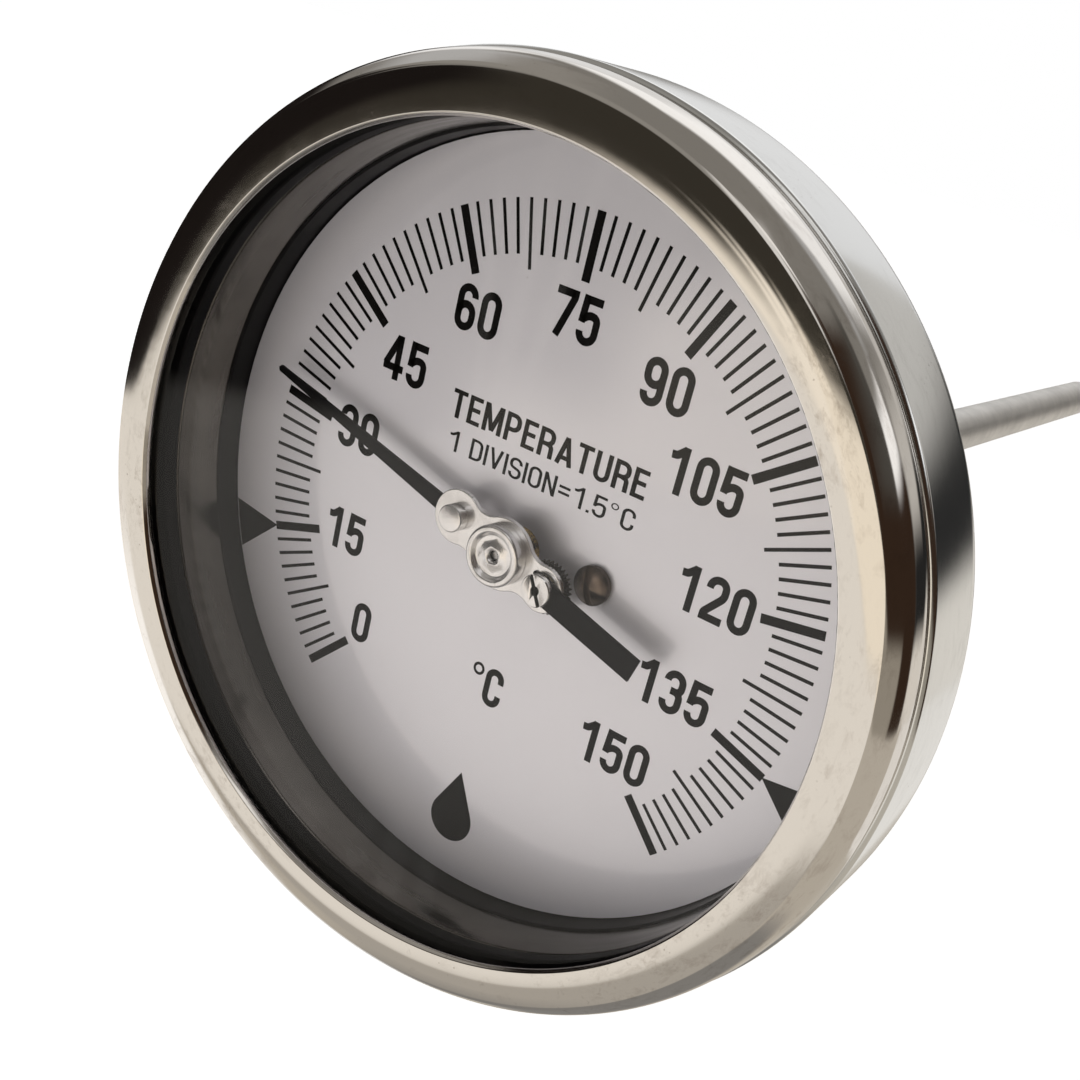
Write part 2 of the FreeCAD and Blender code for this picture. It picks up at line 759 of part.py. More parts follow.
def make_adjusting_screw():
    body = new_body("adjusting_screw", True)
    flange_top = dims.carrier_height + dims.carrier_sheet + dims.tail_sheet + 0.15
    seat = flange_top + 0.05
    top = dims.adjuster_top
    revolve(body, "adjuster_revolution", [
        (ZERO, dims.gear_base),
        (dims.adjuster_shank, dims.gear_base),
        (dims.adjuster_shank, seat),
        (dims.adjuster_head, seat),
        (dims.adjuster_head, top - 0.15),
        (dims.adjuster_head - 0.15, top),
        (Size(0.65, "0.65"), top),
        (Size(0.65, "0.65"), top - 0.9),
        (ZERO, top - 0.9),
    ])
    slot = new_sketch(body, "adjuster_slot_outline", "XY_Plane", top)
    half = Size(0.28, "0.28")
    long = dims.adjuster_head + 0.4
    draw_outline(slot, [(-long, -half), (long, -half), (long, half), (-long, half)])
    cut_down(body, "adjuster_slot", slot, Size(0.35, "0.35"))
    set_on_adjuster(body)
    slot_turn = App.Placement(App.Vector(0, 0, 0), App.Rotation(App.Vector(0, 0, 1), -dims.adjuster_turn.value))
    body.Placement = body.Placement.multiply(slot_turn)


def make_adjuster_bush():
    body = new_body("adjuster_bush", True)
    bore = dims.adjuster_shank + dims.running_gap
    tail_top = dims.carrier_height + dims.carrier_sheet + dims.tail_sheet
    revolve(body, "adjuster_bush_revolution", [
        (bore, dims.carrier_height),
        (dims.adjuster_shank + 0.65, dims.carrier_height),
        (dims.adjuster_shank + 0.65, tail_top),
        (dims.adjuster_shank + 1.05, tail_top),
        (dims.adjuster_shank + 1.05, tail_top + 0.15),
        (bore, tail_top + 0.15),
    ])
    set_on_adjuster(body)


# --------------------------------------------------------------------------- pointer

def tangent_points(near, far, distance, waist):
    """Where a hollow of radius waist touches two circles that lie on the across axis.

    near is the radius at the origin, far the radius at (distance, 0); the hollow lies above.
    """
    reach_near = near + waist
    reach_far = far + waist
    x = (distance ** 2 + reach_near ** 2 - reach_far ** 2) / (2 * distance)
    y = math.sqrt(reach_near ** 2 - x ** 2)
    centre = App.Vector(x, y, 0)
    other = App.Vector(distance, 0, 0)
    on_near = centre * (near / reach_near)
    on_far = other + (centre - other) * (far / reach_far)
    return on_near, on_far, centre


def arc_about(centre, radius, start, end, anticlockwise=True):
    circle = Part.Circle(centre, App.Vector(0, 0, 1), radius)
    first = math.atan2(start.y - centre.y, start.x - centre.x)
    last = math.atan2(end.y - centre.y, end.x - centre.x)
    if anticlockwise:
        return Part.ArcOfCircle(circle, first, last), 1, 2
    return Part.ArcOfCircle(circle, last, first), 2, 1


def mirrored(point):
    return App.Vector(point.x, -point.y, 0)


def draw_lobes(sketch):
    """Three round lobes in a row, joined by hollow waists: middle, blade's and adjuster's."""
    middle = dims.carrier_centre.value
    waist = dims.waist_radius.value
    blade = dims.rivet_lobe.value
    screw = dims.screw_lobe.value
    blade_at = dims.rivet_offset.value
    screw_at = gear_centres().value
    mid_a, blade_a, hollow_a = tangent_points(middle, blade, blade_at, waist)
    adjuster_side = tangent_points(middle, screw, screw_at, waist)
    mid_b, screw_b, hollow_b = [App.Vector(-point.x, point.y, 0) for point in adjuster_side]
    origin = App.Vector(0, 0, 0)
    blade_centre = App.Vector(blade_at, 0, 0)
    screw_centre = App.Vector(-screw_at, 0, 0)
    arcs = [
        arc_about(blade_centre, blade, mirrored(blade_a), blade_a),
        arc_about(hollow_a, waist, blade_a, mid_a, False),
        arc_about(origin, middle, mid_a, mid_b),
        arc_about(hollow_b, waist, mid_b, screw_b, False),
        arc_about(screw_centre, screw, screw_b, mirrored(screw_b)),
        arc_about(mirrored(hollow_b), waist, mirrored(screw_b), mirrored(mid_b), False),
        arc_about(origin, middle, mirrored(mid_b), mirrored(mid_a)),
        arc_about(mirrored(hollow_a), waist, mirrored(mid_a), mirrored(blade_a), False),
    ]
    ends = []
    for curve, first, last in arcs:
        ends.append((sketch.addGeometry(curve, False), first, last))
    for index, (geometry, first, last) in enumerate(ends):
        following = ends[(index + 1) % len(ends)]
        sketch.addConstraint(Sketcher.Constraint("Tangent", geometry, last, following[0], following[1]))
    radii = {0: dims.rivet_lobe, 2: dims.carrier_centre, 4: dims.screw_lobe, 6: dims.carrier_centre,
             1: dims.waist_radius, 3: dims.waist_radius, 5: dims.waist_radius, 7: dims.waist_radius}
    for index, size in radii.items():
        drive(sketch, "Radius", (ends[index][0],), size)
    place_point(sketch, ends[0][0], 3, dims.rivet_offset, ZERO)
    place_point(sketch, ends[2][0], 3, ZERO, ZERO)
    place_point(sketch, ends[4][0], 3, -gear_centres(), ZERO)
    place_point(sketch, ends[6][0], 3, ZERO, ZERO)


def make_pointer_carrier():
    body = new_body("pointer_carrier", True)
    sketch = new_sketch(body, "carrier_outline", "XY_Plane", dims.carrier_height)
    draw_lobes(sketch)
    pad(body, "carrier_pad", sketch, dims.carrier_sheet)
    top = dims.carrier_height + dims.carrier_sheet
    holes = new_sketch(body, "carrier_holes", "XY_Plane", top)
    draw_circle(holes, dims.sleeve_radius + dims.running_gap)
    draw_circle(holes, dims.rivet_shank, dims.rivet_offset)
    draw_circle(holes, dims.adjuster_shank + 0.65, -gear_centres())
    cut_down(body, "carrier_bores", holes, dims.carrier_sheet)


def make_pointer_blade():
    body = new_body("pointer_blade", True)
    half_root = dims.blade_root / 2
    half_neck = dims.neck_width / 2
    half_tip = dims.blade_tip / 2
    inner = dims.rivet_offset
    sketch = new_sketch(body, "blade_outline", "XY_Plane", dims.carrier_height - dims.blade_sheet)
    draw_outline(sketch, [
        (inner, -half_root),
        (dims.blade_neck, dims.neck_set - half_neck),
        (dims.blade_reach, dims.tip_set - half_tip),
        (dims.blade_reach + 0.3, dims.tip_set),
        (dims.blade_reach, dims.tip_set + half_tip),
        (dims.blade_neck, dims.neck_set + half_neck),
        (inner, half_root, half_root + 0.1, 1),
    ])
    draw_circle(sketch, dims.rivet_shank, inner)
    pad(body, "blade_pad", sketch, dims.blade_sheet)


def make_pointer_tail():
    body = new_body("pointer_tail", True)
    half_root = dims.tail_root / 2
    half_end = dims.tail_end / 2
    inner = -gear_centres()
    sketch = new_sketch(body, "tail_outline", "XY_Plane", dims.carrier_height + dims.carrier_sheet)
    draw_outline(sketch, [
        (inner, half_root),
        (-dims.tail_reach, half_end),
        (-dims.tail_reach, -half_end),
        (inner, -half_root),
        (inner + half_root + 0.1, -half_root),
        (inner + half_root + 0.1, half_root),
    ])
    draw_circle(sketch, dims.adjuster_shank + 0.65, inner)
    pad(body, "tail_pad", sketch, dims.tail_sheet)


def make_blade_rivet():
    body = new_body("blade_rivet", True)
    under_blade = dims.carrier_height - dims.blade_sheet
    top_face = dims.carrier_height + dims.carrier_sheet
    revolve(body, "rivet_revolution", [
        (ZERO, under_blade - 0.4),
        (dims.rivet_head - 0.4, under_blade - 0.4),
        (dims.rivet_head - 0.2, under_blade),
        (dims.rivet_shank, under_blade),
        (dims.rivet_shank, top_face),
        (dims.rivet_head, top_face),
        (dims.rivet_head, dims.rivet_top - 0.12),
        (dims.rivet_head - 0.12, dims.rivet_top),
        (ZERO, dims.rivet_top),
    ])
    out = App.Placement(App.Vector(dims.rivet_offset.value, 0, 0), App.Rotation())
    body.Placement = body.Placement.multiply(out)


def make_hub_cap():
    """Round cap fixed on the carrier, hollow over the clip, dished on top."""
    body = new_body("hub_cap", True)
    foot = dims.carrier_height + dims.carrier_sheet
    ceiling = dims.cap_top - 0.95
    dish = dims.cap_top - 0.55
    revolve(body, "cap_revolution", [
        (Size(2.7, "2.7"), foot),
        (dims.cap_radius, foot),
        (dims.cap_radius, dims.cap_top - 0.35, Size(0.35, "0.35"), 1),
        (dims.cap_radius - 0.35, dims.cap_top),
        (dims.cap_radius - 0.8, dims.cap_top),
        (dims.cap_radius - 1.3, dish),
        (Size(1.7, "1.7"), dish),
        (Size(1.4, "1.4"), dish + 0.2),
        (dims.cap_hole + 0.3, dish + 0.2),
        (dims.cap_hole, dish),
        (dims.cap_hole, ceiling),
        (Size(2.7, "2.7"), ceiling),
    ])


def make_spring_washer():
    body = new_body("spring_washer", True)
    gear_top = dims.gear_base + dims.gear_face
    revolve(body, "spring_washer_revolution", ring(
        dims.sleeve_radius + 0.1, dims.sleeve_radius + 1.4, gear_top + 0.05, gear_top + 0.25))


def make_retaining_clip():
    body = new_body("retaining_clip", True)
    low = dims.carrier_height + dims.carrier_sheet + 0.05
    revolve(body, "clip_revolution", ring(
        dims.sleeve_radius, dims.sleeve_radius + 0.8, low, low + 0.3))


MAKERS = [
    make_case_shell, make_bezel_ring, make_window_glass, make_glass_gasket, make_window_spacer,
    make_dial_ring, make_dial_plate, make_dial_screw, make_dial_post, make_dial_bracket,
    make_hex_connector, make_sealing_washer, make_case_nut, make_stem_tube, make_stem_tip,
    make_helix_anchor, make_bimetal_helix, make_helix_collar, make_guide_bushes, make_upper_bush,
    make_spindle, make_hub_gear, make_retaining_clip, make_spring_washer, make_pointer_carrier,
    make_hub_cap, make_blade_rivet, make_pointer_blade, make_pointer_tail, make_adjuster_bush,
    make_adjusting_screw, make_adjusting_pinion,
]
for make in MAKERS:
    make()
doc.recompute()

# --------------------------------------------------------------------------- checks and export

for item in doc.Objects:
    faults = [state for state in item.State if state in ("Invalid", "Error")]
    if faults:
        raise RuntimeError(f"{item.Name} ({item.Label}) is {faults}")

os.makedirs("parts", exist_ok=True)
for part in PARTS:
    shape = part.Shape
    if shape.isNull() or not shape.isValid():
        raise RuntimeError(f"{part.Label} has no valid shape")
    if shape.Volume <= 0 or not shape.Solids:
        raise RuntimeError(f"{part.Label} is not a solid")
    shape.exportStep(os.path.join("parts", part.Label + ".step"))
    print(f"{part.Label}: {len(shape.Solids)} solid(s), {shape.Volume:.2f} mm3")
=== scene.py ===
"""Dial thermometer: looks, print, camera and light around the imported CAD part.

Instrument coordinates used below, in millimetres: x towards 3 o'clock, y towards 12 o'clock and
height out of the dial towards the reader, 0 on the dial's face. place() turns them into the row frame.
"""

import json
import math

import bmesh
import bpy
from mathutils import Matrix, Vector


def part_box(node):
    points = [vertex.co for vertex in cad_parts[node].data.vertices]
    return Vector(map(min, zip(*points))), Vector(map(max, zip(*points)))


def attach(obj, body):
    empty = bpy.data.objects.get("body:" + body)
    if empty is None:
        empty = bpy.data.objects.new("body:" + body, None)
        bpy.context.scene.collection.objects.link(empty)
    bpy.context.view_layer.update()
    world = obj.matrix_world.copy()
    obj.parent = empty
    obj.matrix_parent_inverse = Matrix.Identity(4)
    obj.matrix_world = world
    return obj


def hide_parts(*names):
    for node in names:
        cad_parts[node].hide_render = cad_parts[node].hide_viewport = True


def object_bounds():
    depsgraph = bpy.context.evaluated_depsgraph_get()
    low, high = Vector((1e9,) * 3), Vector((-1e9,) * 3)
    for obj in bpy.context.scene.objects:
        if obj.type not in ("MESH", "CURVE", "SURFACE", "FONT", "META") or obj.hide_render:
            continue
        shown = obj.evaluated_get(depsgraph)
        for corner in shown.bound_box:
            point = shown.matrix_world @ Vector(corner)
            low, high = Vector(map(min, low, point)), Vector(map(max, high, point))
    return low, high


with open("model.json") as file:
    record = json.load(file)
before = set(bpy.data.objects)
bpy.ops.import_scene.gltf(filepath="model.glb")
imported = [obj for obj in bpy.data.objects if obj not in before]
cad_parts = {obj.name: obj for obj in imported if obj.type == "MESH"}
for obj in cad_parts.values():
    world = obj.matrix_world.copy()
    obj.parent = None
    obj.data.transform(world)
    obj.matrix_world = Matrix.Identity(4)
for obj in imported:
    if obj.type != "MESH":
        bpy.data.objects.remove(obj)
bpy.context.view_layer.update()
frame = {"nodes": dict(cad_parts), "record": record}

MM = 0.001
DIAL_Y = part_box("dial_plate")[0].y


def place(x, y, height):
    """A point of the instrument in the row frame, in metres."""
    return Vector((x * MM, DIAL_Y - height * MM, y * MM))


def heights(node):
    """Lowest and highest height of a CAD node above the dial's face, in millimetres."""
    low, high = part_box(node)
    return (DIAL_Y - high.y) / MM, (DIAL_Y - low.y) / MM


def radius(node):
    """Outer radius of a CAD node that is round about the instrument's axis."""
    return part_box(node)[1].z / MM


# ------------------------------------------------------------------ camera

def make_camera():
    """The photograph's camera, placed by the scale on the dial."""
    data = bpy.data.cameras.new("camera")
    data.lens = 45.0
    data.sensor_width = 36.0
    data.shift_x = -0.0825
    data.shift_y = 0.1098
    data.clip_start = 0.01
    data.clip_end = 50.0
    right = Vector((0.82112, 0.51048, 0.25529))
    up = Vector((-0.41395, 0.22471, 0.88213))
    back = Vector((0.39294, -0.83001, 0.39583))
    turn = Matrix((right, up, back)).transposed()
    camera = bpy.data.objects.new("camera", data)
    camera.matrix_world = Matrix.Translation(place(85.784, 59.993, 140.460)) @ turn.to_4x4()
    bpy.context.scene.collection.objects.link(camera)
    bpy.context.scene.camera = camera


make_camera()


# ------------------------------------------------------------------ materials

class Shader:
    """A Principled material with short helpers for procedural detail. Texture scales are per metre."""

    def __init__(self, name, colour, metallic=0.0, roughness=0.5):
        self.material = bpy.data.materials.new(name)
        self.material.use_nodes = True
        self.tree = self.material.node_tree
        self.bsdf = self.tree.nodes["Principled BSDF"]
        self.bsdf.inputs["Base Color"].default_value = (*colour, 1.0)
        self.bsdf.inputs["Metallic"].default_value = metallic
        self.bsdf.inputs["Roughness"].default_value = roughness
        self.where = self.node("ShaderNodeTexCoord").outputs["Object"]

    def node(self, kind, **settings):
        made = self.tree.nodes.new(kind)
        for key, value in settings.items():
            setattr(made, key, value)
        return made

    def link(self, output, target):
        self.tree.links.new(output, target)

    def math(self, operation, first, second=None):
        made = self.node("ShaderNodeMath", operation=operation)
        for index, value in enumerate((first, second)):
            if value is None:
                continue
            if isinstance(value, (int, float)):
                made.inputs[index].default_value = value
            else:
                self.link(value, made.inputs[index])
        return made.outputs[0]

    def scaled(self, scale, source=None):
        made = self.node("ShaderNodeMapping")
        made.inputs["Scale"].default_value = scale
        self.link(source or self.where, made.inputs["Vector"])
        return made.outputs["Vector"]

    def turned(self):
        """Coordinates that run round the instrument's axis: angle, radius and height."""
        split = self.node("ShaderNodeSeparateXYZ")
        self.link(self.where, split.inputs[0])
        across, along, up = split.outputs
        squares = self.math("ADD", self.math("MULTIPLY", across, across), self.math("MULTIPLY", up, up))
        joined = self.node("ShaderNodeCombineXYZ")
        self.link(self.math("ARCTAN2", up, across), joined.inputs[0])
        self.link(self.math("SQRT", squares), joined.inputs[1])
        self.link(along, joined.inputs[2])
        return joined.outputs[0]

    def reach(self, node):
        """Distance of the shaded point from a CAD node's own axis, in metres."""
        low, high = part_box(node)
        middle = (low + high) / 2
        shifted = self.node("ShaderNodeMapping")
        shifted.inputs["Location"].default_value = (-middle.x, 0.0, -middle.z)
        self.link(self.where, shifted.inputs["Vector"])
        split = self.node("ShaderNodeSeparateXYZ")
        self.link(shifted.outputs[0], split.inputs[0])
        across, _, up = split.outputs
        squares = self.math("ADD", self.math("MULTIPLY", across, across), self.math("MULTIPLY", up, up))
        return self.math("SQRT", squares)

    def recess(self, node, depth):
        """1 inside a screw head's slot, which lies deeper than depth (mm) under its top, 0 elsewhere."""
        low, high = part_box(node)
        inside = (high.x - low.x) / 2 - 0.15 * MM
        split = self.node("ShaderNodeSeparateXYZ")
        self.link(self.where, split.inputs[0])
        top = low.y + depth * MM
        deep = self.ranged(split.outputs[1], top, top + 0.06 * MM, 0.0, 1.0)
        near = self.ranged(self.reach(node), inside, inside + 0.05 * MM, 1.0, 0.0)
        return self.math("MULTIPLY", deep, near)

    def noise(self, scale, detail=3.0, roughness=0.55, source=None, distortion=0.0):
        made = self.node("ShaderNodeTexNoise")
        made.inputs["Scale"].default_value = scale
        made.inputs["Detail"].default_value = detail
        made.inputs["Roughness"].default_value = roughness
        made.inputs["Distortion"].default_value = distortion
        self.link(source or self.where, made.inputs["Vector"])
        return made.outputs["Fac"]

    def cells(self, scale):
        """Distance to the nearest of many scattered points."""
        made = self.node("ShaderNodeTexVoronoi", feature="F1")
        made.inputs["Scale"].default_value = scale
        self.link(self.where, made.inputs["Vector"])
        return made.outputs["Distance"]

    def ranged(self, value, low, high, out_low, out_high):
        made = self.node("ShaderNodeMapRange")
        made.clamp = True
        self.link(value, made.inputs["Value"])
        limits = {"From Min": low, "From Max": high, "To Min": out_low, "To Max": out_high}
        for name, number in limits.items():
            made.inputs[name].default_value = number
        return made.outputs["Result"]

    def mix(self, factor, first, second):
        made = self.node("ShaderNodeMix", data_type="RGBA")
        self.link(factor, made.inputs["Factor"])
        for value, target in ((first, made.inputs["A"]), (second, made.inputs["B"])):
            if isinstance(value, tuple):
                target.default_value = (*value, 1.0)
            else:
                self.link(value, target)
        return made.outputs["Result"]

    def set_colour(self, output):
        self.link(output, self.bsdf.inputs["Base Color"])

    def set_roughness(self, output):
        self.link(output, self.bsdf.inputs["Roughness"])

    def bump(self, value, distance, strength=1.0, before=None):
        made = self.node("ShaderNodeBump")
        made.inputs["Distance"].default_value = distance
        made.inputs["Strength"].default_value = strength
        self.link(value, made.inputs["Height"])
        if before is not None:
            self.link(before, made.inputs["Normal"])
        self.link(made.outputs["Normal"], self.bsdf.inputs["Normal"])
        return made.outputs["Normal"]


def polished_steel(name, colour, stain, shine=0.07, wear=0.3, grime=0.5):
    """Polished stainless: faint lines and smudges round the axis, pits, and grit settled low down."""
    made = Shader(name, colour, metallic=1.0)
    turned = made.turned()
    clouds = made.noise(42.0, 4.0, 0.6)
    lines = made.noise(1.0, 2.0, 0.5, made.scaled((1.5, 1500.0, 1500.0), turned))
    smudges = made.noise(1.0, 6.0, 0.72, made.scaled((16.0, 620.0, 620.0), turned), 0.3)
    patches = made.noise(85.0, 3.0, 0.6)
    pits = made.math("MULTIPLY", made.ranged(made.cells(900.0), 0.0, 0.15, 1.0, 0.0),
                     made.ranged(patches, 0.56, 0.66, 0.0, 1.0))
    grey = made.math("MULTIPLY", made.ranged(smudges, 0.50, 0.80, 0.0, grime),
                     made.ranged(clouds, 0.42, 0.66, 0.0, 1.0))
    split = made.node("ShaderNodeSeparateXYZ")
    made.link(made.where, split.inputs[0])
    lowest = made.ranged(split.outputs[2], -0.055, 0.005, 1.0, 0.1)
    grit = made.math("MULTIPLY", made.ranged(made.noise(560.0, 6.0, 0.75), 0.56, 0.74, 0.0, grime),
                     made.ranged(made.noise(48.0, 4.0, 0.7), 0.44, 0.62, 0.0, 1.0))
    settled = made.math("MULTIPLY", grit, lowest)
    dirt = made.math("MAXIMUM", made.math("MAXIMUM", pits, grey), settled)
    made.set_colour(made.mix(dirt, colour, stain))
    haze = made.ranged(clouds, 0.35, 0.75, shine, shine + wear * 0.18)
    scuffs = made.math("MULTIPLY", grey, 0.18)
    made.set_roughness(made.math("ADD", haze, made.math("ADD", scuffs, made.math("MULTIPLY", pits, 0.3))))
    first = made.bump(lines, 0.000002, 0.35)
    made.bump(made.noise(180.0, 2.0, 0.5), 0.000014, 0.5, first)
    return made.material


def plain_metal(name, colour, roughness, grain_scale, grain=0.000004, spread=0.12, turned=True):
    """Turned or drawn metal with fine lines and slight changes of tone."""
    made = Shader(name, colour, metallic=1.0)
    source = made.turned() if turned else made.where
    lines = made.noise(1.0, 3.0, 0.6, made.scaled(grain_scale, source))
    clouds = made.noise(130.0, 4.0, 0.6)
    dark = tuple(c * 0.72 for c in colour)
    made.set_colour(made.mix(made.ranged(clouds, 0.35, 0.7, 0.0, 0.7), colour, dark))
    made.set_roughness(made.ranged(lines, 0.3, 0.7, roughness - spread * 0.5, roughness + spread))
    made.bump(lines, grain)
    return made.material


def coated(name, colour, roughness, texture=900.0, depth=0.000006, sheen=0.2):
    """Paint, ink, rubber or plastic: fine surface texture and small changes of sheen."""
    made = Shader(name, colour)
    fine = made.noise(texture, 3.0, 0.6)
    clouds = made.noise(90.0, 3.0, 0.6)
    made.bsdf.inputs["Specular IOR Level"].default_value = sheen
    light = tuple(min(1.0, c * 1.6 + 0.001) for c in colour)
    made.set_colour(made.mix(made.ranged(clouds, 0.4, 0.75, 0.0, 0.6), colour, light))
    made.set_roughness(made.ranged(clouds, 0.3, 0.7, roughness - 0.05, roughness + 0.1))
    made.bump(fine, depth)
    return made.material


def dial_finish():
    """Silvered dial: satin metal paint under a thin hard gloss, fine grain, faint handling marks."""
    made = Shader("dial_silver", (0.87, 0.865, 0.90), metallic=0.3, roughness=0.38)
    clouds = made.noise(38.0, 3.0, 0.5)
    grain = made.noise(2600.0, 2.0, 0.6)
    paint = made.mix(made.ranged(clouds, 0.35, 0.7, 0.0, 1.0), (0.885, 0.88, 0.92), (0.85, 0.845, 0.885))
    specks = made.math("MULTIPLY", made.ranged(made.cells(240.0), 0.0, 0.045, 1.0, 0.0),
                       made.ranged(made.noise(60.0, 2.0), 0.6, 0.66, 0.0, 0.5))
    made.set_colour(made.mix(specks, paint, (0.38, 0.35, 0.33)))
    made.set_roughness(made.ranged(grain, 0.3, 0.7, 0.34, 0.44))
    made.bsdf.inputs["Coat Weight"].default_value = 1.0
    made.bsdf.inputs["Coat IOR"].default_value = 1.75
    made.bsdf.inputs["Coat Roughness"].default_value = 0.07
    made.bump(grain, 0.0000004)
    return made.material


def pressed_nickel(name, roughness):
    """Bright plated pressing: smooth, with soft changes of tone and a slightly uneven skin."""
    made = Shader(name, (0.95, 0.945, 0.935), metallic=0.88, roughness=roughness)
    clouds = made.noise(420.0, 3.0, 0.55)
    shade = made.ranged(clouds, 0.35, 0.7, 0.0, 1.0)
    made.set_colour(made.mix(shade, (0.97, 0.965, 0.955), (0.88, 0.87, 0.86)))
    made.set_roughness(made.ranged(clouds, 0.35, 0.7, roughness, roughness + 0.08))
    made.bump(made.noise(700.0, 2.0, 0.5), 0.000004, 0.5)
    return made


def adjuster_finish():
    """Bright plated screw head with painted shade, near black, in its slot and centre hole."""
    made = pressed_nickel("adjuster_plate", 0.1)
    bright = made.bsdf.inputs["Base Color"].links[0].from_socket
    # painted shade: the slot and centre hole below the top are coloured near black where shade falls in the
    # recess
    made.set_colour(made.mix(made.recess("adjusting_screw", 0.2), bright, (0.012, 0.010, 0.010)))
    return made.material


def domed_screw():
    """Bronzed cheese-head screw, turned: grooves round its own axis fan the highlight; painted shade darkens
    the edge of its dome.
    """
    made = Shader("screw_bronzed", (0.20, 0.16, 0.125), metallic=1.0, roughness=0.17)
    grooves = made.math("SINE", made.math("MULTIPLY", made.reach("dial_screw"), 2 * math.pi / 0.00011))
    clouds = made.noise(900.0, 3.0, 0.6)
    bronze = made.mix(made.ranged(clouds, 0.4, 0.7, 0.0, 0.8), (0.30, 0.235, 0.185), (0.13, 0.095, 0.075))
    # painted shade: the outer edge of the domed head is coloured near black
    rim = made.ranged(made.reach("dial_screw"), 0.0017, 0.0025, 0.0, 0.85)
    made.set_colour(made.mix(rim, bronze, (0.05, 0.035, 0.03)))
    made.bump(grooves, 0.000012, 0.8)
    return made.material


def window_finish():
    """Clear flat glass that reflects but doesn't shift what is behind it."""
    made = Shader("clear_glass", (1.0, 1.0, 1.0), roughness=0.0)
    clear = made.node("ShaderNodeBsdfTransparent")
    clear.inputs["Color"].default_value = (0.985, 0.98, 0.985, 1.0)
    gloss = made.node("ShaderNodeBsdfGlossy")
    gloss.inputs["Roughness"].default_value = 0.02
    angle = made.node("ShaderNodeLayerWeight")
    angle.inputs["Blend"].default_value = 0.5
    grazing = made.math("POWER", angle.outputs["Facing"], 5.0)
    head_on = 0.024
    mirrored = made.math("ADD", made.math("MULTIPLY", grazing, 0.9), head_on)
    share = made.node("ShaderNodeMixShader")
    made.link(mirrored, share.inputs[0])
    made.link(clear.outputs[0], share.inputs[1])
    made.link(gloss.outputs[0], share.inputs[2])
    made.link(share.outputs[0], made.tree.nodes["Material Output"].inputs["Surface"])
    return made.material


STEEL_WARM = (0.78, 0.745, 0.705)
FINISHES = {
    "bezel_steel": polished_steel("bezel_polish", STEEL_WARM, (0.33, 0.27, 0.225), 0.06, 0.3, 0.8),
    "case_steel": polished_steel("case_polish", (0.79, 0.79, 0.78), (0.40, 0.39, 0.37), 0.13, 0.25, 0.4),
    "spacer_steel": plain_metal("spacer_roll", (0.17, 0.16, 0.145), 0.2, (2.0, 300.0, 900.0), 0.000002, 0.1),
    "window_glass": window_finish(),
    "gasket_rubber": coated("gasket_black", (0.003, 0.003, 0.0034), 0.55),
    "black_plastic": coated("ring_black", (0.003, 0.003, 0.0036), 0.4),
    "dial_face": dial_finish(),
    "dial_print": coated("print_black", (0.0025, 0.0022, 0.0024), 0.5, 900.0, 0.000001, sheen=0.08),
    "bronzed_steel": domed_screw(),
    "bracket_steel": plain_metal("bracket_sheet", (0.55, 0.55, 0.54), 0.38, (60.0, 60.0, 1500.0),
                                 turned=False),
    "connector_steel": plain_metal("connector_turned", (0.56, 0.55, 0.53), 0.24, (3.0, 3000.0, 3000.0)),
    "washer_fibre": coated("fibre_red", (0.30, 0.05, 0.035), 0.7, 1500.0, 0.00002, sheen=0.4),
    "stem_steel": plain_metal("stem_drawn", (0.86, 0.835, 0.80), 0.45, (60.0, 60.0, 90.0), 0.000006),
    "bimetal": plain_metal("bimetal_strip", (0.48, 0.44, 0.38), 0.35, (400.0, 400.0, 4000.0), turned=False),
    # gear_steel: steel coloured near black, much darker than bare steel, as painted shade under the pointer's
    # carrier
    "gear_steel": plain_metal("gear_cut_shaded", (0.10, 0.095, 0.088), 0.32, (3.0, 4000.0, 4000.0)),
    "brass": plain_metal("brass_turned", (0.62, 0.45, 0.20), 0.25, (3.0, 4000.0, 4000.0)),
    "spindle_steel": plain_metal("spindle_ground", (0.56, 0.56, 0.56), 0.25, (2.0, 900.0, 9000.0)),
    "hub_bright": pressed_nickel("hub_pressed", 0.17).material,
    "adjuster_steel": adjuster_finish(),
    "pointer_black": coated("pointer_paint", (0.0025, 0.0024, 0.003), 0.45, 900.0, 0.000001, sheen=0.12),
}


# ------------------------------------------------------------------ mesh helpers

# degrees between faces: less is flat, more is an edge that gets a bevel
FLAT_ANGLE = 0.5
EDGE_ANGLE = 40.0
WELD_DISTANCE = 0.000002


def add_piece(name, mesh, slot, body, nodes=(), sharp=32.0):
    """Link a mesh as a piece of the object: finish, shading, body and the CAD nodes it stands for."""
    piece = bpy.data.objects.new(name, mesh)
    bpy.context.scene.collection.objects.link(piece)
    mesh.materials.clear()
    mesh.materials.append(FINISHES[slot])
    if sharp is not None:
        mesh.shade_smooth()
        mesh.set_sharp_from_angle(angle=math.radians(sharp))
    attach(piece, body)
    if nodes:
        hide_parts(*nodes)
    return piece


def finish_mesh(name, bm):
    """Close a bmesh into a mesh whose faces all point outwards."""
    bmesh.ops.recalc_face_normals(bm, faces=bm.faces)
    mesh = bpy.data.meshes.new(name)
    bm.to_mesh(mesh)
    bm.free()
    return mesh


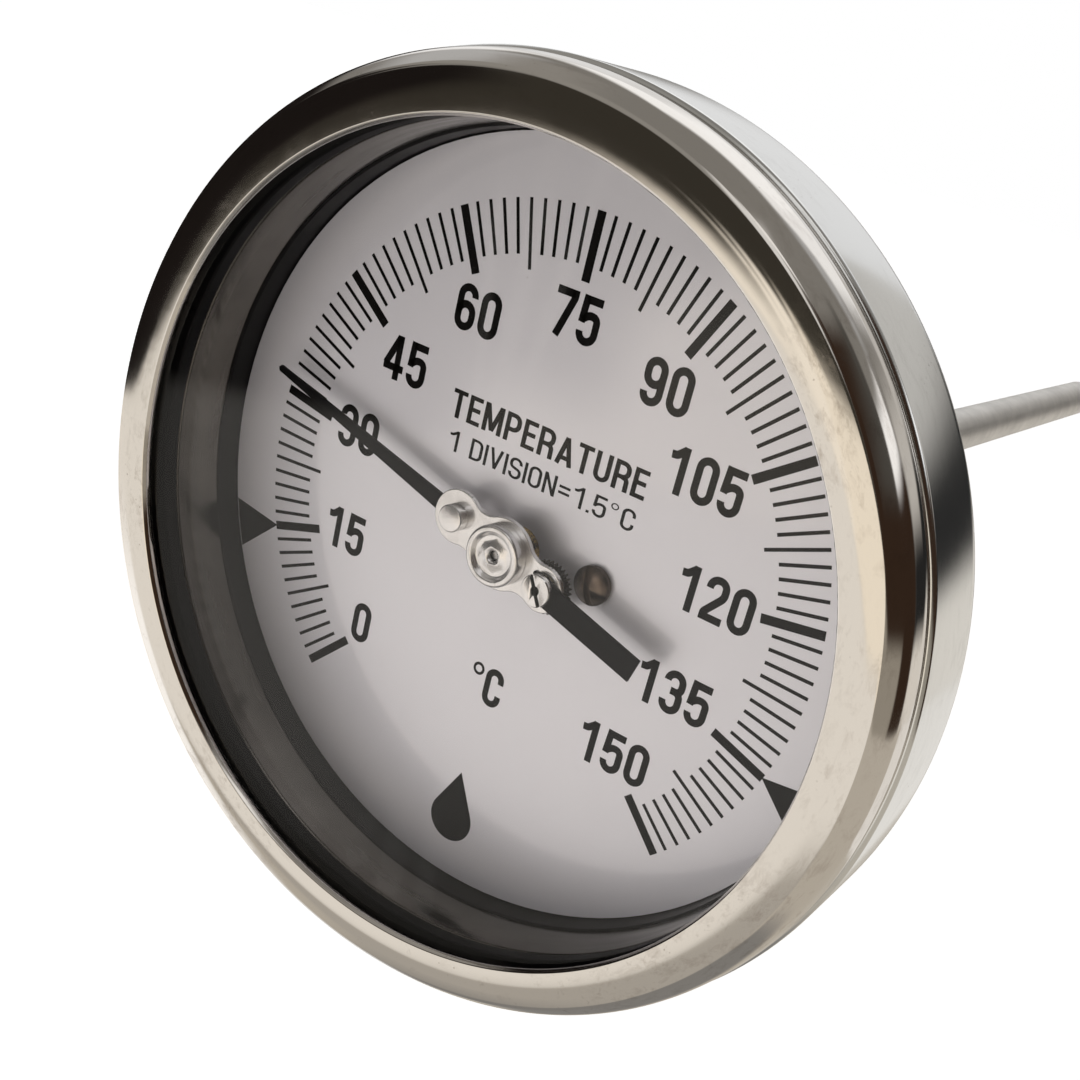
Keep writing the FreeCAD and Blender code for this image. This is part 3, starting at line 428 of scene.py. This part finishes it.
def rounded(points, closed=False, steps=5):
    """Corners (x, y) or (x, y, radius) as a list of points with the corners rounded."""
    line = []
    count = len(points)
    for index, item in enumerate(points):
        here = Vector(item[:2])
        at_end = not closed and index in (0, count - 1)
        if at_end or len(item) < 3:
            line.append(here)
            continue
        before = Vector(points[index - 1][:2]) - here
        after = Vector(points[(index + 1) % count][:2]) - here
        angle = before.angle(after)
        open_before = not closed and index == 1
        open_after = not closed and index == count - 2
        reach = min(item[2] / math.tan(angle / 2),
                    before.length * (1.0 if open_before else 0.5),
                    after.length * (1.0 if open_after else 0.5))
        bend = reach * math.tan(angle / 2)
        start = here + before.normalized() * reach
        centre = here + (before.normalized() + after.normalized()).normalized() * (bend / math.sin(angle / 2))
        sweep = math.pi - angle
        if before.x * after.y - before.y * after.x > 0:
            sweep = -sweep
        spoke = start - centre
        for step in range(steps + 1):
            turn = Matrix.Rotation(sweep * step / steps, 2)
            point = centre + turn @ spoke
            if not line or (point - line[-1]).length > 1e-5:
                line.append(point)
    if closed and (line[0] - line[-1]).length < 1e-5:
        line.pop()
    return line


def lathe(name, outline, segments=256, closed=True):
    """Turned mesh from an outline of (radius, height) points about the instrument's axis."""
    bm = bmesh.new()
    rings = []
    for distance, height in outline:
        if distance < 1e-6:
            rings.append([bm.verts.new(place(0.0, 0.0, height))])
            continue
        ring = []
        for step in range(segments):
            angle = 2 * math.pi * step / segments
            ring.append(bm.verts.new(place(distance * math.cos(angle), distance * math.sin(angle), height)))
        rings.append(ring)
    pairs = list(zip(rings, rings[1:]))
    if closed:
        pairs.append((rings[-1], rings[0]))
    for first, second in pairs:
        if len(first) == 1 and len(second) == 1:
            continue
        for step in range(segments):
            after = (step + 1) % segments
            if len(first) == 1:
                bm.faces.new((first[0], second[step], second[after]))
            elif len(second) == 1:
                bm.faces.new((first[step], first[after], second[0]))
            else:
                bm.faces.new((first[step], first[after], second[after], second[step]))
    return finish_mesh(name, bm)


def refine(name, node, slot, body, width, segments=2):
    """A CAD node again with its edges broken by a small rounded bevel of the given width, mm."""
    mesh = frame["nodes"][node].data.copy()
    bm = bmesh.new()
    bm.from_mesh(mesh)
    bmesh.ops.remove_doubles(bm, verts=bm.verts, dist=WELD_DISTANCE)
    bmesh.ops.dissolve_limit(bm, angle_limit=math.radians(FLAT_ANGLE), verts=bm.verts, edges=bm.edges)
    bm.to_mesh(mesh)
    bm.free()
    piece = add_piece(name, mesh, slot, body, (node,), sharp=EDGE_ANGLE)
    bevel = piece.modifiers.new("edges", "BEVEL")
    bevel.width = width * MM
    bevel.segments = segments
    bevel.limit_method = "ANGLE"
    bevel.angle_limit = math.radians(EDGE_ANGLE)
    bevel.harden_normals = True
    bevel.use_clamp_overlap = True


# ------------------------------------------------------------------ head

def make_bezel():
    """Polished ring: a gentle lip round the glass, a rounded shoulder and a straight skirt."""
    low, high = heights("bezel_ring")
    outer = radius("bezel_ring")
    seat = heights("window_glass")[1]
    opening = outer - 7.6
    inside = outer - 1.5
    outline = rounded([
        (opening, high - 0.75, 0.25),
        (opening + 0.3, high - 0.2, 0.3),
        (opening + 2.9, high, 8.0),
        (opening + 5.3, high - 0.38, 1.0),
        (outer - 0.45, high - 2.5, 4.2),
        (outer, high - 5.1, 3.0),
        (outer, low, 0.45),
        (inside, low),
        (inside, seat - 1.2),
        (outer - 2.9, seat + 0.02),
        (opening + 0.3, seat + 0.02, 0.15),
    ], closed=True, steps=8)
    add_piece("bezel", lathe("bezel", outline), "bezel_steel", "housing", ("bezel_ring",), sharp=24.0)


def make_case():
    """Drawn sheet case with a rounded back corner and a narrower neck for the bezel."""
    low, high = heights("case_shell")
    outer = radius("case_shell")
    shoulder = heights("glass_gasket")[0] - 0.4
    neck = radius("bezel_ring") - 1.6
    sheet = 1.0
    outline = rounded([
        (SPIGOT, low),
        (outer - 0.02, low, 6.0),
        (outer - 0.02, shoulder, 0.7),
        (neck, shoulder),
        (neck, high),
        (neck - sheet, high),
        (neck - sheet, shoulder - sheet),
        (outer - sheet, shoulder - sheet),
        (outer - sheet, low + sheet, 5.0),
        (SPIGOT, low + sheet),
    ], closed=True, steps=12)
    add_piece("case", lathe("case", outline), "case_steel", "housing", ("case_shell",), sharp=24.0)


def make_inner_rings():
    """The black ring round the dial, the rolled wall, the gasket and the window glass."""
    floor, ring_top = heights("dial_ring")
    dial_edge = radius("dial_plate")
    ring_outer = radius("dial_ring")
    inner = dial_edge + 0.2
    under = -0.8
    add_piece("dial_ring_black", lathe("dial_ring_black", rounded([
        (inner + 0.2, floor), (ring_outer, floor), (ring_outer, ring_top),
        (inner, ring_top, 0.3), (inner, under), (inner - 1.7, under),
        (inner - 1.7, under - 1.0), (inner + 0.2, under - 1.0),
    ], closed=True)), "black_plastic", "housing", ("dial_ring",))
    low, high = heights("window_spacer")
    wall = dial_edge + 0.5
    edge = radius("window_spacer")
    add_piece("spacer_wall", lathe("spacer_wall", rounded([
        (wall, low, 0.15), (wall + 0.6, low), (wall + 0.6, high - 0.6),
        (edge, high - 0.6), (edge, high), (wall, high, 0.5),
    ], closed=True)), "spacer_steel", "housing", ("window_spacer",))
    low, high = heights("glass_gasket")
    glass = radius("window_glass")
    back = heights("window_glass")[0]
    add_piece("gasket", lathe("gasket", rounded([
        (wall, low, 0.3), (edge, low), (edge, high), (glass, high), (glass, back), (wall, back, 0.3),
    ], closed=True)), "gasket_rubber", "housing", ("glass_gasket",))
    low, high = heights("window_glass")
    add_piece("window", lathe("window", rounded([
        (0.0, low), (glass, low, 0.4), (glass, high, 0.4), (0.0, high),
    ], steps=3), closed=False), "window_glass", "housing", ("window_glass",), sharp=15.0)


# ------------------------------------------------------------------ connector and stem

# G 1/2 parallel thread, 14 to the inch
THREAD_RADIUS = 10.478
THREAD_PITCH = 1.814
THREAD_DEPTH = 1.162
ROWS_PER_TURN = 12
# hexagon for a 27 mm spanner, its corners turned away at both ends
HEX_FLAT = 13.5
HEX_CORNER = 27.0 * 0.62
CHAMFER_START = 13.3
CHAMFER_LENGTH = 1.6
CHAMFER_ROWS = (0.0, 0.1, 0.3, 0.5, 0.7, 0.9, 1.1, CHAMFER_LENGTH)
COLLAR = 13.0
SPIGOT = 6.5
BORE = 4.75
# stem
TUBE_WALL = 0.8
WELD_GROOVE = 0.06
STEM_SEGMENTS = 128


def polar_solid(name, rows, bore, segments=240):
    """Bored solid whose outside is given by rows of (height, radius at an angle)."""
    bm = bmesh.new()
    angles = [2 * math.pi * step / segments for step in range(segments)]
    rings = []
    inside = [(rows[-1][0], lambda a: bore), (rows[0][0], lambda a: bore)]
    for height, reach in rows + inside:
        rings.append([bm.verts.new(place(reach(a) * math.cos(a), reach(a) * math.sin(a), height))
                      for a in angles])
    for first, second in zip(rings, rings[1:] + rings[:1]):
        for step in range(segments):
            after = (step + 1) % segments
            bm.faces.new((first[step], first[after], second[after], second[step]))
    return finish_mesh(name, bm)


def thread_radius(height, angle, end, shoulder):
    """Radius of the thread at a point, chamfered at its end and run out before the shoulder."""
    root = THREAD_RADIUS - THREAD_DEPTH
    if shoulder - height < 1.3:
        return root
    phase = (height / THREAD_PITCH + angle / (2 * math.pi)) % 1.0
    rise = abs(phase - 0.5) * 2
    crest = min(1.0, max(0.0, rise * 1.35 - 0.175))
    chamfer = THREAD_RADIUS - 1.2 + (height - end)
    return min(root + THREAD_DEPTH * crest, max(chamfer, root))


def hex_radius(angle, depth):
    """Radius of the hexagon at an angle, depth (mm) in from one of its chamfered ends."""
    flat = HEX_FLAT / math.cos((angle % (math.pi / 3)) - math.pi / 6)
    cone = CHAMFER_START + (HEX_CORNER - CHAMFER_START) * depth / CHAMFER_LENGTH
    return min(flat, cone)


def make_connector():
    """Thread, sealing collar, hexagon and the spigot that goes through the case, as one solid."""
    end, top = heights("hex_connector")
    shoulder = DIAL_Y / MM
    hex_low = shoulder + 4.0
    hex_high = heights("sealing_washer")[0]
    rows = []
    count = int((shoulder - end) / THREAD_PITCH * ROWS_PER_TURN)
    for step in range(count + 1):
        height = end + (shoulder - end) * step / count
        rows.append((height, lambda a, h=height: thread_radius(h, a, end, shoulder)))
    rows.append((shoulder, lambda a: COLLAR - 0.2))
    rows.append((shoulder + 0.2, lambda a: COLLAR))
    rows.append((hex_low, lambda a: COLLAR))
    for depth in CHAMFER_ROWS:
        rows.append((hex_low + depth, lambda a, d=depth: hex_radius(a, d)))
    for depth in reversed(CHAMFER_ROWS):
        rows.append((hex_high - depth, lambda a, d=depth: hex_radius(a, d)))
    rows.append((hex_high, lambda a: SPIGOT))
    rows.append((top - 0.3, lambda a: SPIGOT))
    rows.append((top, lambda a: SPIGOT - 0.3))
    add_piece("connector", polar_solid("connector", rows, BORE), "connector_steel", "housing",
              ("hex_connector",), sharp=28.0)


def make_stem():
    """The tube and the domed plug at its end, with a fine weld groove between them."""
    outer = radius("stem_tube")
    low, high = heights("stem_tube")
    end = heights("hex_connector")[0]
    bore = outer - TUBE_WALL
    seat = outer - 0.25
    weld = outer - WELD_GROOVE
    add_piece("stem", lathe("stem", rounded([
        (bore, low), (weld, low), (outer, low + 2 * WELD_GROOVE), (outer, end),
        (seat, end), (seat, high), (bore, high),
    ], closed=True), STEM_SEGMENTS), "stem_steel", "housing", ("stem_tube",))
    tip, plug = heights("stem_tip")
    outline = []
    for degrees in range(0, 90, 6):
        turn = math.radians(degrees)
        outline.append((outer * math.sin(turn), tip + outer * (1 - math.cos(turn))))
    outline += [(weld, low), (bore, low), (bore, plug), (0.0, plug)]
    add_piece("stem_end", lathe("stem_end", outline, STEM_SEGMENTS, closed=False), "stem_steel",
              "housing", ("stem_tip",))


# ------------------------------------------------------------------ print on the dial

# thickness of the ink, mm; stroke and gap of the lettering, as shares of a letter's height
INK = 0.02
STROKE = 0.165
GAP = 0.10


def solid(bm, outline):
    """Layer of ink from an outline of (x, y) points on the dial."""
    bottom = [bm.verts.new(place(x, y, 0.0)) for x, y in outline]
    top = [bm.verts.new(place(x, y, INK)) for x, y in outline]
    bm.faces.new(bottom)
    bm.faces.new(list(reversed(top)))
    count = len(outline)
    for index in range(count):
        after = (index + 1) % count
        bm.faces.new((bottom[index], bottom[after], top[after], top[index]))


def ribbon_sides(line, width, closed):
    """Left and right edges of a band of constant width along a line, with mitred corners."""
    count = len(line)
    left = []
    right = []
    for index, here in enumerate(line):
        before = line[index - 1] if index or closed else None
        after = line[(index + 1) % count] if index < count - 1 or closed else None
        ways = []
        if before is not None:
            ways.append((here - before).normalized())
        if after is not None:
            ways.append((after - here).normalized())
        way = sum(ways, Vector((0.0, 0.0))).normalized()
        across = Vector((-way.y, way.x))
        stretch = 1.0 / max(0.35, way.dot(ways[0]))
        left.append(here + across * (width / 2 * stretch))
        right.append(here - across * (width / 2 * stretch))
    return left, right


def band(bm, line, width, closed, move):
    """Solid band along a line; move turns glyph coordinates into dial coordinates."""
    left, right = ribbon_sides(line, width, closed)
    rows = []
    for a, b in zip(left, right):
        ax, ay = move(a)
        bx, by = move(b)
        rows.append((bm.verts.new(place(ax, ay, 0.0)), bm.verts.new(place(ax, ay, INK)),
                     bm.verts.new(place(bx, by, INK)), bm.verts.new(place(bx, by, 0.0))))
    pairs = list(zip(rows, rows[1:]))
    if closed:
        pairs.append((rows[-1], rows[0]))
    for first, second in pairs:
        for index in range(4):
            after = (index + 1) % 4
            bm.faces.new((first[index], first[after], second[after], second[index]))
    if not closed:
        bm.faces.new(rows[0])
        bm.faces.new(tuple(reversed(rows[-1])))


def glyph(letter, s):
    """Width and strokes of a condensed letter of height 1: each stroke is (points, closed)."""
    width = {"I": s, ".": s, "M": 0.68, "=": 0.52, "T": 0.50, "V": 0.56, "A": 0.58,
             "4": 0.56, "o": 0.42, "E": 0.46, " ": 0.26}.get(letter, 0.53)
    h = s / 2
    left, right, base, top = h, width - h, h, 1 - h
    mid = (left + right) / 2
    r = (right - left) / 2
    bowl = 0.56
    strokes = {
        "0": [([(left, base, r), (right, base, r), (right, top, r), (left, top, r)], True)],
        "O": [([(left, base, r), (right, base, r), (right, top, r), (left, top, r)], True)],
        "1": [([(right - 0.10, 0.0), (right - 0.10, 1.0)], False),
              ([(0.03, 0.775), (0.16, 0.785, 0.1), (right - 0.10, 0.95)], False)],
        "2": [([(left, 0.70), (left, top, r), (right, top, r), (right, 0.60, 0.22), (left, 0.17, 0.12),
                (left, base * 0.9)], False), ([(0.0, base), (width, base)], False)],
        "3": [([(left, 0.73), (left, top, r), (right, top, r), (right, 0.53, 0.12),
                (mid - 0.06, 0.53)], False),
              ([(mid - 0.06, 0.53), (right, 0.53, 0.14), (right, base, r), (left, base, r),
                (left, 0.28)], False)],
        "4": [([(right - 0.10, 0.0), (right - 0.10, 1.0)], False),
              ([(right - 0.12, 0.97), (0.055, 0.30)], False),
              ([(0.0, 0.27), (width, 0.27)], False)],
        "5": [([(width - 0.03, top), (left + 0.03, top)], False),
              ([(left + 0.03, 1.0), (left, 0.44)], False),
              ([(left, 0.50), (mid - 0.03, 0.62, 0.20), (right, 0.60, 0.17), (right, base, r),
                (left, base, r), (left, 0.27)], False)],
        "6": [([(left, base, r), (right, base, r), (right, bowl, r), (left, bowl, r)], True),
              ([(left, 0.35), (left, top, r), (right, top, r), (right, 0.73)], False)],
        "7": [([(0.0, top), (right, top)], False),
              ([(right, 1.0), (right, 0.84, 0.2), (mid - 0.10, 0.0)], False)],
        "9": [([(left, 1 - bowl, r), (right, 1 - bowl, r), (right, top, r), (left, top, r)], True),
              ([(right, 0.65), (right, base, r), (left, base, r), (left, 0.27)], False)],
        "C": [([(right, 0.66), (right, top, r), (left, top, r), (left, base, r), (right, base, r),
                (right, 0.34)], False)],
        "D": [([(left, base), (right, base, r), (right, top, r), (left, top)], True)],
        "E": [([(left, 0.0), (left, 1.0)], False), ([(left, top), (width, top)], False),
              ([(left, base), (width, base)], False), ([(left, 0.52), (width - 0.04, 0.52)], False)],
        "I": [([(h, 0.0), (h, 1.0)], False)],
        "M": [([(left, 0.0), (left, 1.0)], False), ([(right, 0.0), (right, 1.0)], False),
              ([(left + 0.02, 0.98), (mid, 0.08)], False), ([(right - 0.02, 0.98), (mid, 0.08)], False)],
        "N": [([(left, 0.0), (left, 1.0)], False), ([(right, 0.0), (right, 1.0)], False),
              ([(left + 0.01, 0.97), (right - 0.01, 0.03)], False)],
        "P": [([(left, 0.0), (left, top), (right, top, r), (right, 0.43, r), (left, 0.43)], False)],
        "R": [([(left, 0.0), (left, top), (right, top, r), (right, 0.47, r), (left, 0.47)], False),
              ([(mid, 0.47), (right - 0.01, 0.42, 0.10), (right, 0.0)], False)],
        "S": [([(right, 0.71), (right, top, r), (left, top, r), (left, 0.56, 0.16), (right, 0.44, 0.16),
                (right, base, r), (left, base, r), (left, 0.29)], False)],
        "T": [([(0.0, top), (width, top)], False), ([(width / 2, 0.0), (width / 2, top)], False)],
        "U": [([(left, 1.0), (left, base, r), (right, base, r), (right, 1.0)], False)],
        "V": [([(left, 1.0), (width / 2, 0.04)], False), ([(right, 1.0), (width / 2, 0.04)], False)],
        "A": [([(left, 0.0), (width / 2, 0.96)], False), ([(right, 0.0), (width / 2, 0.96)], False),
              ([(0.12, 0.25), (width - 0.12, 0.25)], False)],
        "=": [([(0.03, 0.36), (width - 0.03, 0.36)], False), ([(0.03, 0.64), (width - 0.03, 0.64)], False)],
        ".": [([(h, 0.0), (h, s)], False)],
        "o": [([(0.07, 0.68, 0.13), (0.33, 0.68, 0.13), (0.33, 0.94, 0.13), (0.07, 0.94, 0.13)], True)],
        " ": [],
    }
    return width, strokes[letter]


def write(bm, text, centre, height, length=None, s=STROKE):
    """Print a line of text centred on a point of the dial; length squeezes or stretches it."""
    widths = [glyph(letter, s)[0] for letter in text]
    natural = (sum(widths) + GAP * (len(text) - 1)) * height
    stretch = length / natural if length else 1.0
    pen = centre[0] - natural * stretch / 2
    for letter in text:
        width, strokes = glyph(letter, s)

        def move(point, start=pen):
            return start + point.x * height * stretch, centre[1] + (point.y - 0.5) * height

        for points, closed in strokes:
            thin = s * 0.42 if letter == "o" else s
            band(bm, rounded(points, closed), thin, closed, move)
        pen += (width + GAP) * height * stretch


# the scale: degrees of arc, full reading and step, then the radii of its marks, mm
SPAN = 270.0
FULL = 150.0
STEP = 1.5
TICK_OUTER = 43.0
TICK_LONG = 34.65
TICK_SHORT = 36.46
TICK_WIDTH = 0.46
TICK_BOLD = 1.2
# middles of the numerals as shares of the marks' outer radius
NUMERALS = {
    0: (-0.525, -0.486), 15: (-0.660, -0.212), 30: (-0.682, 0.125), 45: (-0.552, 0.393),
    60: (-0.330, 0.618), 75: (0.0, 0.708), 90: (0.332, 0.620), 105: (0.520, 0.417),
    120: (0.652, 0.117), 135: (0.611, -0.197), 150: (0.483, -0.467),
}
NUMERAL_HEIGHT = 5.9


def scale_angle(value):
    """Angle of a reading, clockwise from 12 o'clock, in radians."""
    return math.radians(-SPAN / 2 + SPAN * value / FULL)


def radial_mark(bm, angle, inner, width):
    """A mark of the scale, from an inner radius out to the scale's edge."""
    out = Vector((math.sin(angle), math.cos(angle)))
    side = Vector((out.y, -out.x)) * width / 2
    solid(bm, [out * inner - side, out * inner + side, out * TICK_OUTER + side, out * TICK_OUTER - side])


def add_print(name, bm):
    add_piece(name, finish_mesh(name, bm), "dial_print", "housing", sharp=None)


def make_scale():
    """Marks every 1.5, longer every fifth and broad every tenth, and the numerals."""
    bm = bmesh.new()
    for index in range(round(FULL / STEP) + 1):
        inner = TICK_SHORT if index % 5 else TICK_LONG
        width = TICK_WIDTH if index % 10 else TICK_BOLD
        radial_mark(bm, scale_angle(index * STEP), inner, width)
    add_print("scale_marks", bm)
    bm = bmesh.new()
    for value, (x, y) in NUMERALS.items():
        write(bm, str(value), (x * TICK_OUTER, y * TICK_OUTER), NUMERAL_HEIGHT)
    add_print("scale_numerals", bm)


def make_captions():
    """Generic words above the hub and the unit below it; "o" is the degree sign."""
    bm = bmesh.new()
    write(bm, "TEMPERATURE", (0.05, 14.5), 3.7, 30.4, 0.15)
    write(bm, "1 DIVISION=1.5oC", (0.2, 9.7), 2.75, 29.4, 0.12)
    write(bm, "C", (1.05, -20.1), 5.6)
    write(bm, "o", (-1.75, -20.1), 5.6)
    add_print("dial_captions", bm)


def make_symbols():
    """Two black wedges at the rim and a drop low on the dial."""
    bm = bmesh.new()
    edge = radius("dial_plate") - 0.1
    for value in (15.0, 135.0):
        angle = scale_angle(value)
        tip = Vector((math.sin(angle), math.cos(angle))) * (TICK_OUTER - 0.2)
        outline = [(tip.x, tip.y)]
        for degrees in range(-4, 5):
            turn = angle + math.radians(degrees)
            outline.append((edge * math.sin(turn), edge * math.cos(turn)))
        solid(bm, outline)
    add_print("limit_marks", bm)
    bm = bmesh.new()
    middle = Vector((-0.6, -41.8))
    round_part = 3.5
    outline = [middle + Vector((0.0, 7.5))]
    for step in range(25):
        turn = math.radians(28 - 236 * step / 24)
        outline.append(middle + Vector((math.cos(turn), math.sin(turn))) * round_part)
    solid(bm, outline)
    add_print("drop_symbol", bm)


# ------------------------------------------------------------------ small parts

def make_small_parts():
    """The pointer's pieces and the screws, from their CAD solids."""
    refine("dial_screw_head", "dial_screw", "bronzed_steel", "housing", 0.1)
    refine("carrier_plate", "pointer_carrier", "hub_bright", "pointer", 0.14, 3)
    refine("cap", "hub_cap", "hub_bright", "pointer", 0.1)
    refine("rivet", "blade_rivet", "hub_bright", "pointer", 0.1)
    refine("blade", "pointer_blade", "pointer_black", "pointer", 0.05)
    refine("tail", "pointer_tail", "pointer_black", "pointer", 0.05)
    refine("adjuster", "adjusting_screw", "adjuster_steel", "adjuster", 0.05)


# ------------------------------------------------------------------ stage

def make_stage():
    """A plain white floor well below the object; its glow keeps the ground as pale as the room."""
    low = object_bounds()[0].z - 0.10
    bm = bmesh.new()
    bmesh.ops.create_grid(bm, x_segments=1, y_segments=1, size=6.0)
    mesh = bpy.data.meshes.new("floor")
    bm.to_mesh(mesh)
    bm.free()
    floor = bpy.data.objects.new("floor", mesh)
    floor.location.z = low
    floor.visible_glossy = False
    floor.visible_diffuse = False
    floor.visible_shadow = False
    bpy.context.scene.collection.objects.link(floor)
    paint = Shader("floor_white", (0.85, 0.85, 0.85), roughness=0.9)
    paint.bsdf.inputs["Emission Color"].default_value = (1.0, 1.0, 1.0, 1.0)
    paint.bsdf.inputs["Emission Strength"].default_value = 0.72
    mesh.materials.append(paint.material)


def tone(value, warmth=0.0):
    """A grey of the room, warmer for higher warmth."""
    return value * (1.0 + warmth * 0.35), value, value * (1.0 - warmth * 0.55)


DARK = (0.0115, 0.0090, 0.0080)
BROWN = (0.036, 0.021, 0.0135)
# the room in degrees: azimuth from, to, elevation from, to, softness of the edges, then the colour;
# azimuth 0 is in front of the dial and each row is painted over the ones before it
ROOM = (
    (-180, 180, -90, 90, 1, tone(0.22, 0.15)),
    (-110, -2, 28, 62, 8, tone(0.28, 0.15)),
    # lit walls and ceiling panels
    (-180, -136, 8, 30, 6, tone(0.82)),
    (-180, -136, 30, 66, 6, tone(1.1)),
    (-137, -120, 8, 33, 4, tone(1.0)),
    (-122, -100, 26, 46, 6, tone(0.5)),
    (138, 162, 40, 66, 8, tone(0.45)),
    (160, 180, 28, 66, 6, tone(1.0)),
    (136, 180, 11, 28, 6, tone(0.55, 0.1)),
    (90, 132, 24, 41, 4, tone(1.1)),
    (-10, 16, 22, 66, 5, tone(0.78, 0.05)),
    (12, 46, 54, 73, 5, tone(0.95, 0.05)),
    # dark room in front of the dial and a dark door behind it
    (-136, -27, -30, 16, 3, DARK),
    (-104, -58, 10, 27, 4, DARK),
    (-40, 20, -30, 22, 4, tone(0.035, 0.4)),
    (20, 132, -30, 27, 4, BROWN),
    (20, 88, 20, 45, 5, BROWN),
    (32, 76, 40, 56, 4, BROWN),
    (72, 90, 26, 60, 5, tone(0.07, 0.2)),
    (130, 180, -8, 10, 4, tone(0.02)),
    # pale table, its far half greyer, and the shade under the object
    (-35, -19, -30, -13.5, 2, tone(0.95, 0.25)),
    (-29, -15, -30, -8, 2, tone(0.95, 0.25)),
    (-25, -11, -30, -3, 2, tone(0.95, 0.25)),
    (-17, 29, -30, 1.5, 2, tone(0.90, 0.3)),
    (28, 90, -30, 0, 3, tone(0.29, 0.3)),
    (128, 180, -30, -4, 3, tone(0.72, 0.15)),
    (-180, 180, -90, -16.4, 0.7, tone(0.48, 0.25)),
    (-132, 30, -34, -16.4, 0.7, tone(0.84, 0.15)),
    (140, 180, -34, -16.4, 0.7, tone(0.80, 0.1)),
    (-132, -60, -90, -26, 5, tone(1.15, 0.05)),
    (-48, 30, -90, -33, 5, tone(0.42, 0.2)),
    (-180, 180, -90, -55, 5, tone(0.235, 0.1)),
    (-130, -62, -66, -50, 4, tone(0.80, 0.05)),
)


def make_world():
    """A pale studio: bright behind and overhead, with the darker room in front of the dial."""
    world = bpy.data.worlds.new("studio")
    world.use_nodes = True
    tree = world.node_tree
    background = tree.nodes["Background"]

    def math_node(operation, first, second=None):
        made = tree.nodes.new("ShaderNodeMath")
        made.operation = operation
        for index, value in enumerate((first, second)):
            if isinstance(value, (int, float)):
                made.inputs[index].default_value = value
            elif value is not None:
                tree.links.new(value, made.inputs[index])
        return made.outputs[0]

    def smooth(value, low, high):
        made = tree.nodes.new("ShaderNodeMapRange")
        made.interpolation_type = "SMOOTHSTEP"
        tree.links.new(value, made.inputs["Value"])
        made.inputs["From Min"].default_value = low
        made.inputs["From Max"].default_value = high
        return made.outputs["Result"]

    where = tree.nodes.new("ShaderNodeTexCoord")
    split = tree.nodes.new("ShaderNodeSeparateXYZ")
    tree.links.new(where.outputs["Generated"], split.inputs[0])
    across, along, up = split.outputs
    turn = math_node("MULTIPLY", math_node("ARCTAN2", across, math_node("MULTIPLY", along, -1.0)),
                     180 / math.pi)
    rise = math_node("MULTIPLY", math_node("ARCSINE", up), 180 / math.pi)
    colour = None
    for az_low, az_high, el_low, el_high, soft, paint in ROOM:
        if colour is None:
            colour = paint
            continue
        edges = []
        if az_low > -180:
            edges.append(smooth(turn, az_low - soft, az_low + soft))
        if az_high < 180:
            edges.append(smooth(turn, az_high + soft, az_high - soft))
        if el_low > -90:
            edges.append(smooth(rise, el_low - soft, el_low + soft))
        if el_high < 90:
            edges.append(smooth(rise, el_high + soft, el_high - soft))
        factor = edges[0]
        for edge in edges[1:]:
            factor = math_node("MULTIPLY", factor, edge)
        made = tree.nodes.new("ShaderNodeMix")
        made.data_type = "RGBA"
        tree.links.new(factor, made.inputs["Factor"])
        if isinstance(colour, tuple):
            made.inputs["A"].default_value = (*colour, 1.0)
        else:
            tree.links.new(colour, made.inputs["A"])
        made.inputs["B"].default_value = (*paint, 1.0)
        colour = made.outputs["Result"]
    path = tree.nodes.new("ShaderNodeLightPath")
    shown = tree.nodes.new("ShaderNodeMix")
    shown.data_type = "RGBA"
    tree.links.new(path.outputs["Is Camera Ray"], shown.inputs["Factor"])
    tree.links.new(colour, shown.inputs["A"])
    shown.inputs["B"].default_value = (1.0, 1.0, 1.0, 1.0)
    tree.links.new(shown.outputs["Result"], background.inputs["Color"])
    background.inputs["Strength"].default_value = 1.0
    bpy.context.scene.world = world


def paint_cad_nodes():
    """Give the CAD nodes that stay visible the finish of their slot."""
    slots = {part["node"]: part["material_slot"] for part in frame["record"]["subparts"]}
    for node, obj in frame["nodes"].items():
        for index in range(max(1, len(obj.material_slots))):
            if not obj.material_slots:
                obj.data.materials.append(None)
            obj.material_slots[index].material = FINISHES[slots[node]]


def make_lamp():
    """A soft lamp low on the left in front of the dial; the polished steel doesn't mirror it."""
    position = Vector((-0.10, -0.27, -0.09))
    target = Vector((0.0, -0.02, 0.0))
    data = bpy.data.lights.new("key", "AREA")
    data.shape = "SQUARE"
    data.size = 0.3
    data.energy = 0.36
    lamp = bpy.data.objects.new("key", data)
    lamp.location = position
    lamp.rotation_euler = (target - position).to_track_quat("-Z", "Y").to_euler()
    lamp.visible_glossy = False
    lamp.visible_camera = False
    bpy.context.scene.collection.objects.link(lamp)


paint_cad_nodes()
make_bezel()
make_case()
make_inner_rings()
make_connector()
make_stem()
make_scale()
make_captions()
make_symbols()
make_small_parts()
make_stage()
make_world()
make_lamp()

bpy.context.scene.view_settings.view_transform = "Standard"

bpy.context.view_layer.update()
